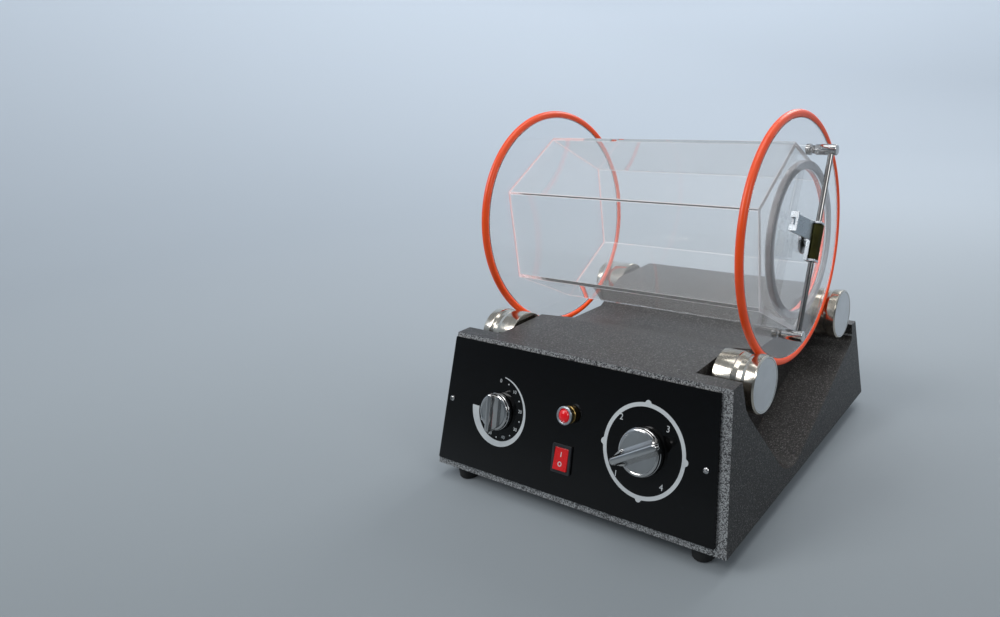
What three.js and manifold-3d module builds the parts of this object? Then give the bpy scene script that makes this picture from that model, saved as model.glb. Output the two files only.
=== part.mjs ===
// Rotary rock tumbler: a hexagonal clear barrel between two belted discs, turned by four
// grooved rollers on a sheet-metal base with a timer, a speed selector, a lamp and a rocker.
// Millimetres, +X to the right along the drum axis, +Y to the rear, +Z up.
// While modelling, y = 0 is the base's front bottom edge and z = 0 is its bottom edge; the
// whole group is moved at the end, so that the origin is the middle of its footprint.

import * as THREE from 'three';
import { mergeVertices } from 'three/addons/utils/BufferGeometryUtils.js';
import Module from 'manifold-3d';

const wasm = await Module();
wasm.setup();

// ---------------------------------------------------------------- driving dimensions

const GAP = 0.3;

const BASE = {
  halfTop: 180,
  halfBottom: 193,
  height: 151,
  rearHeight: 150,
  depth: 396,
  frontLean: 48,
  rearLean: 13.5,
  wall: 2,
  halfCore: 129.5,
  rimEnd: 66,
  hornTop: 104,
};
const DECK = { frontEnd: 137, valleyFront: [196, 127], valleyRear: [254, 125], rearStart: 306 };
const NOTCH = { rearFoot: [370, 84, 12], bottom: [147.5, 4, 44], frontFoot: [67.5, 119, 26] };

const FOOT = { radius: 12.5, height: 17, x: 160, frontY: 16, rearY: 380, screw: 2.2 };
const PLATE = {
  thickness: 2,
  inset: 3.2,
  slots: [-100, -80, -60, 30, 50, 70],
  slotWidth: 6,
  slotFrontY: 183,
  slotRearY: 273,
};

const PANEL = {
  thickness: 3,
  bottom: 7.5,
  top: 154,
  leftEdge: 1.5,
  rightEdge: 11.5,
  screwLeft: [-176, 81],
  screwRight: [163, 79],
};
const TIMER = { at: [-103, 80.5], radius: 21, skirt: 12, grip: 21, gripLength: 44, turn: 0 };
const SPEED = { at: [92, 80.5], radius: 24.5, skirt: 13, grip: 24, gripLength: 60, turn: 118 };
const GRIP_WIDTH = 11;
const SPINDLE = { radius: 3, neck: 4.5, hole: 5.5 };
const LAMP = { at: [-3, 97.5], barrel: 8.8, bezel: 10, lens: 6.8, proud: 13 };
const ROCKER = { at: [-7, 49], width: 25, height: 31, frame: 3, rim: 2.2, proud: 3.2, bodyDepth: 22 };

const DRUM = {
  y: 228,
  discX: 163.5,
  discThickness: 6,
  beltRadius: 132.5,
  beltSection: 4.2,
  barrelRadius: 104.7,
  barrelWall: 5,
};
const ROLLER = { offset: 114, z: 128, radius: 30.5, floor: 28.4, inner: 134.2, outer: 181.6, chamfer: 1.6 };
const SHAFT = { radius: 6, half: 175 };
const BEARING = { flange: 19, flangeThickness: 3, boss: 12, bossLength: 14 };

const DOOR = { opening: 77, radius: 85, rim: 76, rimThickness: 6, pane: 4, gasket: 1.5, gasketInner: 79 };
const POST = { radius: 5.8, fromAxis: 101.5, angle: 63.5, stub: 2.8, end: 193.5 };
const COLLAR = { radius: 6.2, length: 5 };
const ROD = { radius: 3.1, x: 187, endGap: 0.5 };
const SLEEVE = { radius: 7, length: 38 };
const LEVER = { length: 46, width: 20, thickness: 2.2, dip: 14, tab: 11, ear: 6, seat: -2 };
const PAD = { radius: 14, base: 3, stem: 6 };

const MOTOR = { x: -12, y: 236, z: 50, radius: 36, length: 92, shaft: 4, pulley: 9, groove: 7 };
const DRIVE = { x: 54, width: 11, pulley: 17, groove: 15, belt: 5 };

const INLET = { at: [100, 42], width: 27, height: 20, flangeWidth: 50, flangeHeight: 24, depth: 18 };
const FUSE = { at: [48, 42], radius: 6, cap: 8.5 };
const CAPACITOR = { x: -110, y: 150, length: 76, depth: 28, height: 34 };

const SEGMENTS = { small: 12, medium: 16, round: 20, wide: 48 };

// ---------------------------------------------------------------- values worked out

const drumRadius = DRUM.beltRadius + DRUM.beltSection;
const contact = drumRadius + ROLLER.floor + GAP;
const drumZ = ROLLER.z + Math.sqrt(contact ** 2 - ROLLER.offset ** 2);
const rollerFrontY = DRUM.y - ROLLER.offset;
const rollerRearY = DRUM.y + ROLLER.offset;
const discInner = DRUM.discX - DRUM.discThickness / 2;
const discOuter = DRUM.discX + DRUM.discThickness / 2;
const gasketStart = discOuter + GAP;
const lidStart = gasketStart + DOOR.gasket + GAP;
const paneFace = lidStart + DOOR.pane;
const postAngle = THREE.MathUtils.degToRad(POST.angle);

// ---------------------------------------------------------------- materials

const FINISH = {
  hammertone: { color: 0x3b3b3d, roughness: 0.55, metalness: 0.35 },
  glossBlack: { color: 0x0b0b0d, roughness: 0.18, metalness: 0.0 },
  chrome: { color: 0xd8d8da, roughness: 0.12, metalness: 1.0 },
  steel: { color: 0xb4b5b6, roughness: 0.3, metalness: 1.0 },
  zinc: { color: 0xc6cacc, roughness: 0.35, metalness: 0.9 },
  bronze: { color: 0x4a4526, roughness: 0.5, metalness: 0.7 },
  brass: { color: 0x9a7b3c, roughness: 0.35, metalness: 1.0 },
  rubber: { color: 0x141414, roughness: 0.85, metalness: 0.0 },
  belt: { color: 0xf4421c, roughness: 0.4, metalness: 0.0 },
  acrylic: { color: 0xe8edf0, roughness: 0.05, metalness: 0.0, transparent: true, opacity: 0.3 },
  silicone: { color: 0xdfe3e4, roughness: 0.5, metalness: 0.0, transparent: true, opacity: 0.6 },
  redLens: { color: 0xc81420, roughness: 0.15, metalness: 0.0 },
  redPlastic: { color: 0xd01c20, roughness: 0.3, metalness: 0.0 },
  darkPlastic: { color: 0x24262a, roughness: 0.45, metalness: 0.0 },
  motorPaint: { color: 0x55585c, roughness: 0.5, metalness: 0.6 },
};

// ---------------------------------------------------------------- solids

/** Merge shared corners, drop flat triangles and turn the faces outwards. */
function closed(geometry) {
  const bare = geometry.clone();
  bare.deleteAttribute('normal');
  bare.deleteAttribute('uv');
  const merged = mergeVertices(bare, 1e-4);
  const position = merged.getAttribute('position');
  const corner = [new THREE.Vector3(), new THREE.Vector3(), new THREE.Vector3()];
  const kept = [];
  let volume = 0;
  for (let i = 0; i < merged.index.count; i += 3) {
    const face = [merged.index.getX(i), merged.index.getX(i + 1), merged.index.getX(i + 2)];
    if (new Set(face).size < 3) continue;
    face.forEach((vertex, k) => corner[k].fromBufferAttribute(position, vertex));
    volume += corner[0].dot(corner[1].cross(corner[2]));
    kept.push(...face);
  }
  if (volume < 0) kept.reverse();
  merged.setIndex(kept);
  return merged;
}

function toManifold(geometry) {
  const merged = closed(geometry);
  const vertProperties = new Float32Array(merged.getAttribute('position').array);
  const triVerts = new Uint32Array(merged.index.array);
  return new wasm.Manifold(new wasm.Mesh({ numProp: 3, vertProperties, triVerts }));
}

function fromManifold(solid) {
  const mesh = solid.getMesh();
  const geometry = new THREE.BufferGeometry();
  const position = [];
  for (let i = 0; i < mesh.vertProperties.length; i += mesh.numProp) {
    position.push(...mesh.vertProperties.slice(i, i + 3));
  }
  geometry.setAttribute('position', new THREE.Float32BufferAttribute(position, 3));
  geometry.setIndex([...mesh.triVerts]);
  return geometry;
}

function join(first, ...others) {
  return fromManifold(others.reduce((sum, other) => sum.add(toManifold(other)), toManifold(first)));
}

function cut(first, ...others) {
  return fromManifold(others.reduce((rest, other) => rest.subtract(toManifold(other)), toManifold(first)));
}

function overlap(first, second) {
  return fromManifold(toManifold(first).intersect(toManifold(second)));
}

/** Box between two corners. */
function block([x0, y0, z0], [x1, y1, z1]) {
  const box = new THREE.BoxGeometry(x1 - x0, y1 - y0, z1 - z0);
  return box.translate((x0 + x1) / 2, (y0 + y1) / 2, (z0 + z1) / 2);
}

/** Solid of revolution about Z from [radius, height] pairs; the ends lie on the axis or meet. */
function turnedZ(profile, segments = SEGMENTS.round) {
  const points = profile.map(([radius, height]) => new THREE.Vector2(radius, height));
  return new THREE.LatheGeometry(points, segments).rotateX(Math.PI / 2);
}

/** Solid of revolution about X, placed on the line y, z. */
function turnedX(profile, y, z, segments = SEGMENTS.round) {
  const points = profile.map(([radius, along]) => new THREE.Vector2(radius, along));
  return new THREE.LatheGeometry(points, segments).rotateZ(-Math.PI / 2).translate(0, y, z);
}

/** Stepped rod: [radius, from, to] stretches, one after the other. */
function stepped(stretches) {
  const profile = [[0, stretches[0][1]]];
  for (const [radius, from, to] of stretches) profile.push([radius, from], [radius, to]);
  profile.push([0, stretches.at(-1)[2]]);
  return profile;
}

/** Profile of a ring with a square section. */
function ring(inner, outer, from, to) {
  return [[inner, from], [outer, from], [outer, to], [inner, to], [inner, from]];
}

/** Extrude an outline of [y, z] points along X. */
function extrudeX(outline, from, to, hole = null) {
  const shape = new THREE.Shape(outline.map(([y, z]) => new THREE.Vector2(y, z)));
  if (hole) shape.holes.push(new THREE.Path(hole.map(([y, z]) => new THREE.Vector2(y, z))));
  const geometry = new THREE.ExtrudeGeometry(shape, { depth: to - from, bevelEnabled: false });
  const axes = [new THREE.Vector3(0, 1, 0), new THREE.Vector3(0, 0, 1), new THREE.Vector3(1, 0, 0)];
  return geometry.applyMatrix4(new THREE.Matrix4().makeBasis(...axes)).translate(from, 0, 0);
}

/** Extrude an outline of [x, z] points along Y, over the base's whole depth and beyond. */
function extrudeY(outline, from, to) {
  const shape = new THREE.Shape(outline.map(([x, z]) => new THREE.Vector2(x, z)));
  const geometry = new THREE.ExtrudeGeometry(shape, { depth: to - from, bevelEnabled: false });
  return geometry.rotateX(Math.PI / 2).translate(0, to, 0);
}

/** Extrude an outline of [x, y] points along Z. */
function extrudeZ(outline, from, to) {
  const shape = new THREE.Shape(outline.map(([x, y]) => new THREE.Vector2(x, y)));
  return new THREE.ExtrudeGeometry(shape, { depth: to - from, bevelEnabled: false }).translate(0, 0, from);
}

/** Points of a circle's arc, from one angle to another, in degrees. */
function arc([cx, cy], radius, from, to, steps) {
  return Array.from({ length: steps + 1 }, (_, i) => {
    const angle = THREE.MathUtils.degToRad(from + ((to - from) * i) / steps);
    return [cx + radius * Math.cos(angle), cy + radius * Math.sin(angle)];
  });
}

/** Round each corner [a, b, radius] of a closed outline; no radius leaves it sharp. */
function filleted(corners, steps = 5) {
  return corners.flatMap(([a, b, radius = 0], i) => {
    if (!radius) return [[a, b]];
    const corner = new THREE.Vector2(a, b);
    const before = new THREE.Vector2(...corners.at(i - 1)).sub(corner).normalize();
    const after = new THREE.Vector2(...corners[(i + 1) % corners.length]).sub(corner).normalize();
    const half = Math.acos(before.dot(after)) / 2;
    const middle = before.clone().add(after).setLength(radius / Math.sin(half)).add(corner);
    const start = before.multiplyScalar(radius / Math.tan(half)).add(corner).sub(middle);
    const end = after.multiplyScalar(radius / Math.tan(half)).add(corner).sub(middle);
    const from = start.angle();
    let sweep = end.angle() - from;
    if (sweep > Math.PI) sweep -= 2 * Math.PI;
    if (sweep < -Math.PI) sweep += 2 * Math.PI;
    const [first, last] = [from, from + sweep].map(THREE.MathUtils.radToDeg);
    return arc([middle.x, middle.y], radius, first, last, steps);
  });
}

/** Move every edge of a counter-clockwise outline inwards. */
function inset(outline, distance) {
  return outline.map((point, i) => {
    const corner = new THREE.Vector2(...point);
    const into = corner.clone().sub(new THREE.Vector2(...outline.at(i - 1))).normalize();
    const out = new THREE.Vector2(...outline[(i + 1) % outline.length]).sub(corner).normalize();
    const normals = [into, out].map((edge) => new THREE.Vector2(-edge.y, edge.x));
    const mitre = normals[0].clone().add(normals[1]).normalize();
    corner.addScaledVector(mitre, distance / mitre.dot(normals[0]));
    return [corner.x, corner.y];
  });
}

/** Rectangle with rounded corners, counter-clockwise, centred. */
function roundedRectangle(width, height, radius) {
  const [w, h] = [width / 2, height / 2];
  return filleted([[-w, -h, radius], [w, -h, radius], [w, h, radius], [-w, h, radius]], 4);
}

// ---------------------------------------------------------------- frames and the scene

/** Matrix of a sloping face: local X across it, local Y up it, local Z out of it. */
function faceMatrix(origin, across, up) {
  const out = across.clone().cross(up);
  return new THREE.Matrix4().makeBasis(across, up, out).setPosition(origin);
}

const frontUp = new THREE.Vector3(0, BASE.frontLean, BASE.height).normalize();
const frontFace = faceMatrix(new THREE.Vector3(), new THREE.Vector3(1, 0, 0), frontUp);
const rearUp = new THREE.Vector3(0, -BASE.rearLean, BASE.rearHeight).normalize();
const rearOrigin = new THREE.Vector3(0, BASE.depth, 0);
const rearFace = faceMatrix(rearOrigin, new THREE.Vector3(-1, 0, 0), rearUp);

const tumbler = new THREE.Group();

function addPart(name, geometry, finish, matrix = null) {
  const mesh = new THREE.Mesh(closed(geometry), new THREE.MeshStandardMaterial(FINISH[finish]));
  mesh.name = name;
  if (matrix) mesh.applyMatrix4(matrix);
  tumbler.add(mesh);
}

/** Matrix that puts a part at a spot of a sloping face. */
function onFace(face, [across, up], out = 0) {
  return face.clone().multiply(new THREE.Matrix4().makeTranslation(across, up, out));
}

// ---------------------------------------------------------------- base

const frontYAt = (z) => (BASE.frontLean * z) / BASE.height;
const rearYAt = (z) => BASE.depth - (BASE.rearLean * z) / BASE.rearHeight;
const halfWidthAt = (z) => BASE.halfBottom - ((BASE.halfBottom - BASE.halfTop) * z) / BASE.height;

/** Side profile of the middle of the base, with its deck and valley. */
function coreOutline(floor) {
  return [
    [frontYAt(floor), floor],
    [rearYAt(floor), floor],
    [rearYAt(BASE.rearHeight), BASE.rearHeight],
    [DECK.rearStart, BASE.rearHeight],
    DECK.valleyRear,
    DECK.valleyFront,
    [DECK.frontEnd, BASE.height],
    [BASE.frontLean, BASE.height],
  ];
}

/** Side profile of the two side boxes, with the deep notch that clears disc and rollers. */
function sideOutline(floor) {
  return filleted([
    [frontYAt(floor), floor],
    [rearYAt(floor), floor],
    [rearYAt(BASE.hornTop), BASE.hornTop],
    [NOTCH.rearFoot[0] + 2, BASE.hornTop],
    NOTCH.rearFoot,
    NOTCH.bottom,
    NOTCH.frontFoot,
    [BASE.rimEnd, BASE.height],
    [BASE.frontLean, BASE.height],
  ]);
}

function frontOutline(floor, roof) {
  const [low, high] = [halfWidthAt(floor), halfWidthAt(roof)];
  return [[-low, floor], [low, floor], [high, roof], [-high, roof]];
}

/** Solid of the base's outside, or of its inside when thickness is more than 0. */
function baseSolid(floor, thickness) {
  const shrink = (outline) => (thickness ? inset(outline, thickness) : outline);
  const halfCore = BASE.halfCore - thickness;
  const core = extrudeX(shrink(coreOutline(floor)), -halfCore, halfCore);
  const side = extrudeX(shrink(sideOutline(floor)), -BASE.halfBottom - 1, BASE.halfBottom + 1);
  const width = extrudeY(shrink(frontOutline(floor, BASE.height + 1)), -20, BASE.depth + 20);
  return overlap(join(core, side), width);
}

/** Cutter for a round hole through a wall of a sloping face. */
function faceHole(face, at, radius) {
  const hole = turnedZ(stepped([[radius, -6, 8]]), SEGMENTS.small);
  return hole.applyMatrix4(onFace(face, at));
}

function rockerOpening() {
  const outline = roundedRectangle(ROCKER.width - 3, ROCKER.height - 3, 1);
  return extrudeZ(outline, -6, 8).applyMatrix4(onFace(frontFace, ROCKER.at));
}

function panelHoles() {
  return [
    faceHole(frontFace, TIMER.at, SPINDLE.hole),
    faceHole(frontFace, SPEED.at, SPINDLE.hole),
    faceHole(frontFace, LAMP.at, LAMP.barrel + GAP),
    faceHole(frontFace, PANEL.screwLeft, 1.9),
    faceHole(frontFace, PANEL.screwRight, 1.9),
    rockerOpening(),
  ];
}

function rearHoles() {
  const inlet = extrudeZ(roundedRectangle(INLET.width + 1, INLET.height + 1, 2), -6, 8);
  return [inlet.applyMatrix4(onFace(rearFace, INLET.at)), faceHole(rearFace, FUSE.at, FUSE.radius + GAP)];
}

function bearingHoles() {
  const reach = BASE.halfCore + 6;
  return [rollerFrontY, rollerRearY].map((y) =>
    turnedX(stepped([[BEARING.boss + 2 * GAP, -reach, reach]]), y, ROLLER.z, SEGMENTS.medium),
  );
}

function addHousing() {
  const shell = cut(baseSolid(0, 0), baseSolid(-10, BASE.wall));
  addPart('housing', cut(shell, ...panelHoles(), ...rearHoles(), ...bearingHoles()), 'hammertone');
}

function footPlaces() {
  return [
    ['front_left', -FOOT.x, FOOT.frontY],
    ['front_right', FOOT.x, FOOT.frontY],
    ['rear_left', -FOOT.x, FOOT.rearY],
    ['rear_right', FOOT.x, FOOT.rearY],
  ];
}

function addBottomPlate() {
  const { thickness, inset: margin, slotWidth, slotFrontY, slotRearY } = PLATE;
  const half = BASE.halfBottom - margin;
  const plate = block([-half, margin, 0], [half, BASE.depth - margin, thickness]);
  const holes = footPlaces().map(([, x, y]) =>
    turnedZ(stepped([[FOOT.screw + 0.4, -3, thickness + 3]]), SEGMENTS.small).translate(x, y, 0),
  );
  const slots = PLATE.slots.map((x) => block([x, slotFrontY, -3], [x + slotWidth, slotRearY, thickness + 3]));
  addPart('bottom_plate', cut(plate, ...holes, ...slots), 'hammertone');
}

function addFeet() {
  const { radius, height, screw } = FOOT;
  for (const [place, x, y] of footPlaces()) {
    const body = turnedZ(
      [
        [screw + 0.4, -height + 5],
        [5.5, -height + 5],
        [5.5, -height],
        [radius - 2, -height],
        [radius - 0.5, -height + 2],
        [radius, -GAP],
        [screw + 0.4, -GAP],
        [screw + 0.4, -height + 5],
      ],
      SEGMENTS.small,
    );
    addPart(`foot_${place}`, body.translate(x, y, 0), 'rubber');
    const head = [4.4, -height + 1.8, -height + 4.7];
    const fastener = turnedZ(stepped([head, [screw, -height + 4.7, 6]]), SEGMENTS.small);
    addPart(`foot_screw_${place}`, fastener.translate(x, y, 0), 'steel');
  }
}

// ---------------------------------------------------------------- front panel and controls

function addPanel() {
  const { bottom, top, leftEdge, rightEdge, thickness } = PANEL;
  const slant = frontUp.z;
  const left = (up) => -halfWidthAt(up * slant) + leftEdge;
  const right = (up) => halfWidthAt(up * slant) - rightEdge;
  const corners = [[left(bottom), bottom], [right(bottom), bottom], [right(top), top], [left(top), top]];
  const plate = extrudeZ(filleted(corners.map(([a, b]) => [a, b, 1.5]), 3), GAP, thickness);
  addPart('front_panel', cut(plate.applyMatrix4(frontFace), ...panelHoles()), 'glossBlack');
}

function addPanelScrews() {
  const [under, over] = [PANEL.thickness + GAP, PANEL.thickness + 2.1];
  const profile = [[0, -5], [1.5, -5], [1.5, under], [3.2, under], [3.2, over - 0.8], [2.2, over], [0, over]];
  addPart('panel_screw_left', turnedZ(profile, SEGMENTS.small), 'chrome', onFace(frontFace, PANEL.screwLeft));
  addPart('panel_screw_right', turnedZ(profile, SEGMENTS.small), 'chrome', onFace(frontFace, PANEL.screwRight));
}

/** Knob with a round skirt and a grip bar across it, bored for its spindle. */
function knob({ radius, skirt, grip, gripLength, turn }) {
  const under = PANEL.thickness + GAP + 0.5;
  const dome = turnedZ(
    [[0, under], [radius, under], [radius, skirt - 1.5], [radius - 1.5, skirt], [0, skirt + 0.6]],
    SEGMENTS.round,
  );
  const bar = extrudeZ(roundedRectangle(gripLength, GRIP_WIDTH, GRIP_WIDTH / 2 - 0.1), under + 2, grip);
  const bore = turnedZ(stepped([[SPINDLE.radius + GAP, under - 2, skirt + 2]]), SEGMENTS.small);
  return cut(join(dome, bar.rotateZ(THREE.MathUtils.degToRad(90 + turn))), bore);
}

/** Switch or timer body behind the front wall, with a neck and a spindle. */
function controlBody(width, height, depth, skirt) {
  const back = -BASE.wall - GAP;
  const body = extrudeZ(roundedRectangle(width, height, 3), back - depth, back);
  const stretches = [[SPINDLE.neck, back - 1, PANEL.thickness], [SPINDLE.radius, PANEL.thickness, skirt]];
  const neck = turnedZ(stepped(stretches), SEGMENTS.small);
  return join(body, neck);
}

function addTimer() {
  addPart('timer_knob', knob(TIMER), 'chrome', onFace(frontFace, TIMER.at));
  addPart('timer_body', controlBody(46, 50, 32, TIMER.skirt), 'darkPlastic', onFace(frontFace, TIMER.at));
}

function addSpeedSelector() {
  addPart('speed_knob', knob(SPEED), 'chrome', onFace(frontFace, SPEED.at));
  addPart('speed_switch', controlBody(44, 44, 28, SPEED.skirt), 'darkPlastic', onFace(frontFace, SPEED.at));
}

function addLamp() {
  const { barrel, bezel, lens, proud } = LAMP;
  const start = PANEL.thickness + GAP;
  const holder = [
    [lens + GAP, -18],
    [barrel, -18],
    [barrel, start],
    [barrel + 0.6, start],
    [barrel + 0.6, proud - 3],
    [bezel, proud - 3],
    [bezel, proud - 0.8],
    [bezel - 0.8, proud],
    [lens + GAP, proud],
    [lens + GAP, -18],
  ];
  const dome = [[0, -14], [lens, -14], [lens, proud - 0.5], [lens * 0.8, proud + 1], [lens * 0.4, proud + 1.8]];
  addPart('lamp_bezel', turnedZ(holder, SEGMENTS.medium), 'zinc', onFace(frontFace, LAMP.at));
  const window = turnedZ([...dome, [0, proud + 2]], SEGMENTS.medium);
  addPart('lamp_lens', window, 'redLens', onFace(frontFace, LAMP.at));
}

function addRocker() {
  const { width, height, frame, rim, proud, bodyDepth, at } = ROCKER;
  const start = PANEL.thickness + GAP;
  const flange = extrudeZ(roundedRectangle(width, height, 1.5), start, start + rim);
  const body = extrudeZ(roundedRectangle(width - 4, height - 4, 1), -bodyDepth, start + 1);
  const well = extrudeZ(roundedRectangle(width - 2 * frame, height - 2 * frame, 0.6), -8, start + 10);
  addPart('rocker_frame', cut(join(flange, body), well), 'darkPlastic', onFace(frontFace, at));

  const half = height / 2 - frame - 0.6;
  const across = width / 2 - frame - 0.5;
  const top = start + proud;
  const outline = [
    [-half, top + 0.6],
    [-half, start - 2.5],
    [0, -6.5],
    [half, start - 2.5],
    [half, top - 1.8],
    [0, top - 0.6],
  ];
  const paddle = extrudeX(outline, -across, across);
  addPart('rocker_button', paddle, 'redPlastic', onFace(frontFace, at));
}

// ---------------------------------------------------------------- shafts, rollers and drive

function rollerProfile() {
  const { radius, floor, inner, outer, chamfer } = ROLLER;
  const [grooveIn, grooveOut] = [DRUM.discX - 8.5, DRUM.discX + 7];
  const bore = SHAFT.radius + 0.1;
  return [
    [bore, inner],
    [radius - 0.8, inner],
    [radius, inner + 0.8],
    [radius, grooveIn],
    [radius - 0.9, grooveIn + 0.6],
    [floor, DRUM.discX - 3],
    [floor, DRUM.discX + 3],
    [radius - 0.9, grooveOut - 0.6],
    [radius, grooveOut],
    [radius, outer - chamfer],
    [radius - chamfer, outer],
    [0, outer],
    [0, SHAFT.half + GAP],
    [bore, SHAFT.half + GAP],
    [bore, inner],
  ];
}

function addShaftSet(place, y) {
  const { radius, half } = SHAFT;
  addPart(`shaft_${place}`, turnedX(stepped([[radius, -half, half]]), y, ROLLER.z), 'steel');
  const mirror = new THREE.Matrix4().makeScale(-1, 1, 1);
  const roller = turnedX(rollerProfile(), y, ROLLER.z);
  const { flange, flangeThickness, boss, bossLength } = BEARING;
  const seat = BASE.halfCore + GAP;
  const bore = radius + 0.25;
  const bearing = turnedX(
    [
      [bore, seat - bossLength],
      [boss, seat - bossLength],
      [boss, seat],
      [flange, seat],
      [flange, seat + flangeThickness - 1],
      [flange - 5, seat + flangeThickness],
      [bore, seat + flangeThickness],
      [bore, seat - bossLength],
    ],
    y,
    ROLLER.z,
    SEGMENTS.medium,
  );
  addPart(`roller_${place}_right`, roller, 'chrome');
  addPart(`roller_${place}_left`, roller.clone().applyMatrix4(mirror), 'chrome');
  addPart(`bearing_${place}_right`, bearing, 'darkPlastic');
  addPart(`bearing_${place}_left`, bearing.clone().applyMatrix4(mirror), 'darkPlastic');
}

/** Grooved pulley about X, bored for its shaft. */
function pulley(outer, groove, bore, y, z) {
  const { x, width } = DRIVE;
  const [low, high] = [x - width / 2, x + width / 2];
  return turnedX(
    [
      [bore, low],
      [outer, low],
      [outer, low + 1.8],
      [groove, low + 2.6],
      [groove, high - 2.6],
      [outer, high - 1.8],
      [outer, high],
      [bore, high],
      [bore, low],
    ],
    y,
    z,
    SEGMENTS.medium,
  );
}

/** Outline of a belt round the two pulleys, at a distance from their groove floors. */
function beltOutline(offset) {
  const run = new THREE.Vector2(rollerRearY - MOTOR.y, ROLLER.z - MOTOR.z);
  const lean = THREE.MathUtils.radToDeg(run.angle());
  const [small, large] = [MOTOR.groove + offset, DRIVE.groove + offset];
  const spread = THREE.MathUtils.radToDeg(Math.acos((small - large) / run.length()));
  return [
    ...arc([MOTOR.y, MOTOR.z], small, lean + spread, lean + 360 - spread, 14),
    ...arc([rollerRearY, ROLLER.z], large, lean - spread, lean + spread, 18),
  ];
}

function addDrive() {
  const { x, y, z, radius, length, shaft, pulley: rim, groove } = MOTOR;
  const [back, front] = [x - length / 2, x + length / 2];
  const frame = [
    [0, back],
    [radius - 10, back],
    [radius - 8, back + 3],
    [radius, back + 8],
    [radius, front - 8],
    [radius - 8, front - 3],
    [11, front - 3],
    [11, front],
    [0, front],
  ];
  addPart('motor', turnedX(frame, y, z), 'motorPaint');
  const stub = stepped([[shaft, front + GAP, DRIVE.x + DRIVE.width / 2 + 3]]);
  addPart('motor_shaft', turnedX(stub, y, z, SEGMENTS.small), 'steel');
  addPart('motor_pulley', pulley(rim, groove, shaft + 0.1, y, z), 'brass');
  const driven = pulley(DRIVE.pulley, DRIVE.groove, SHAFT.radius + GAP, rollerRearY, ROLLER.z);
  addPart('drive_pulley', driven, 'darkPlastic');
  const half = DRIVE.belt / 2;
  const loop = extrudeX(beltOutline(GAP + 2.6), DRIVE.x - half, DRIVE.x + half, beltOutline(GAP).reverse());
  addPart('drive_belt', loop, 'rubber');

  const saddle = extrudeX(
    [
      [y - 42, PLATE.thickness + GAP],
      [y + 42, PLATE.thickness + GAP],
      [y + 42, PLATE.thickness + 6],
      ...arc([y, z], radius + GAP, -36, -144, 16),
      [y - 42, PLATE.thickness + 6],
    ],
    x - 30,
    x + 30,
  );
  addPart('motor_bracket', saddle, 'zinc');
  const can = extrudeX(roundedRectangle(CAPACITOR.depth, CAPACITOR.height, 6), 0, CAPACITOR.length);
  const lift = PLATE.thickness + GAP + CAPACITOR.height / 2;
  addPart('run_capacitor', can.translate(CAPACITOR.x, CAPACITOR.y, lift), 'darkPlastic');
}

function addRearFittings() {
  const { width, height, flangeWidth, flangeHeight, depth, at } = INLET;
  const flange = extrudeZ(roundedRectangle(flangeWidth, flangeHeight, 5), GAP, 3);
  const body = extrudeZ(roundedRectangle(width, height, 2), -depth, 1);
  const well = extrudeZ(roundedRectangle(width - 4, height - 4, 1.5), -depth + 3, 5);
  const pins = [[-7, -3.5], [0, -0.5], [7, -3.5]].map(([x, y]) => block([x - 1, y, -depth + 2], [x + 1, y + 4, -1]));
  addPart('power_inlet', join(cut(join(flange, body), well), ...pins), 'darkPlastic', onFace(rearFace, at));
  const stretches = [[FUSE.radius, -24, GAP], [FUSE.cap, GAP, 3], [FUSE.radius, 3, 9]];
  const holder = turnedZ(stepped(stretches), SEGMENTS.small);
  addPart('fuse_holder', holder, 'darkPlastic', onFace(rearFace, FUSE.at));
}

// ---------------------------------------------------------------- drum

/** Half section of a disc whose rim is hollowed for the round belt. */
function discProfile(middle) {
  const half = DRUM.discThickness / 2;
  const seat = DRUM.beltSection + GAP;
  const edge = THREE.MathUtils.radToDeg(Math.asin(half / seat));
  const rim = arc([DRUM.beltRadius, middle], seat, 180 + edge, 180 - edge, 4);
  return [[0, middle - half], ...rim, [0, middle + half]];
}

/** Point on the disc, at a distance from the drum axis towards the upper post. */
function alongBar(distance) {
  return [DRUM.y + distance * Math.cos(postAngle), drumZ + distance * Math.sin(postAngle)];
}

function addDrum() {
  const { barrelRadius, barrelWall, discX, beltRadius, beltSection } = DRUM;
  const hexagon = (radius) => arc([DRUM.y, drumZ], radius, -30, 270, 5);
  const inner = hexagon(barrelRadius - barrelWall / Math.cos(Math.PI / 6)).reverse();
  const reach = discInner - GAP;
  addPart('barrel', extrudeX(hexagon(barrelRadius), -reach, reach, inner), 'acrylic');

  const { wide } = SEGMENTS;
  addPart('disc_left', turnedX(discProfile(-discX), DRUM.y, drumZ, wide), 'acrylic');
  const doorHole = turnedX(stepped([[DOOR.opening, discInner - 3, discOuter + 3]]), DRUM.y, drumZ, wide);
  const boltHoles = [POST.fromAxis, -POST.fromAxis].map((distance) =>
    turnedX(stepped([[POST.stub + GAP, discInner - 3, discOuter + 3]]), ...alongBar(distance), SEGMENTS.small),
  );
  const disc = turnedX(discProfile(discX), DRUM.y, drumZ, wide);
  addPart('disc_right', cut(disc, doorHole, ...boltHoles), 'acrylic');

  for (const [side, x] of [['left', -discX], ['right', discX]]) {
    const belt = new THREE.TorusGeometry(beltRadius, beltSection, 8, wide);
    addPart(`rim_belt_${side}`, belt.rotateY(Math.PI / 2).translate(x, DRUM.y, drumZ), 'belt');
  }
}

// ---------------------------------------------------------------- door, posts and clamp

/** Turn a part built along Z at the origin so that it lies along the clamp bar. */
function barMatrix(distance) {
  const along = new THREE.Vector3(0, Math.cos(postAngle), Math.sin(postAngle));
  const out = new THREE.Vector3(1, 0, 0);
  const across = along.clone().cross(out);
  return new THREE.Matrix4().makeBasis(out, across, along).setPosition(ROD.x, ...alongBar(distance));
}

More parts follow.
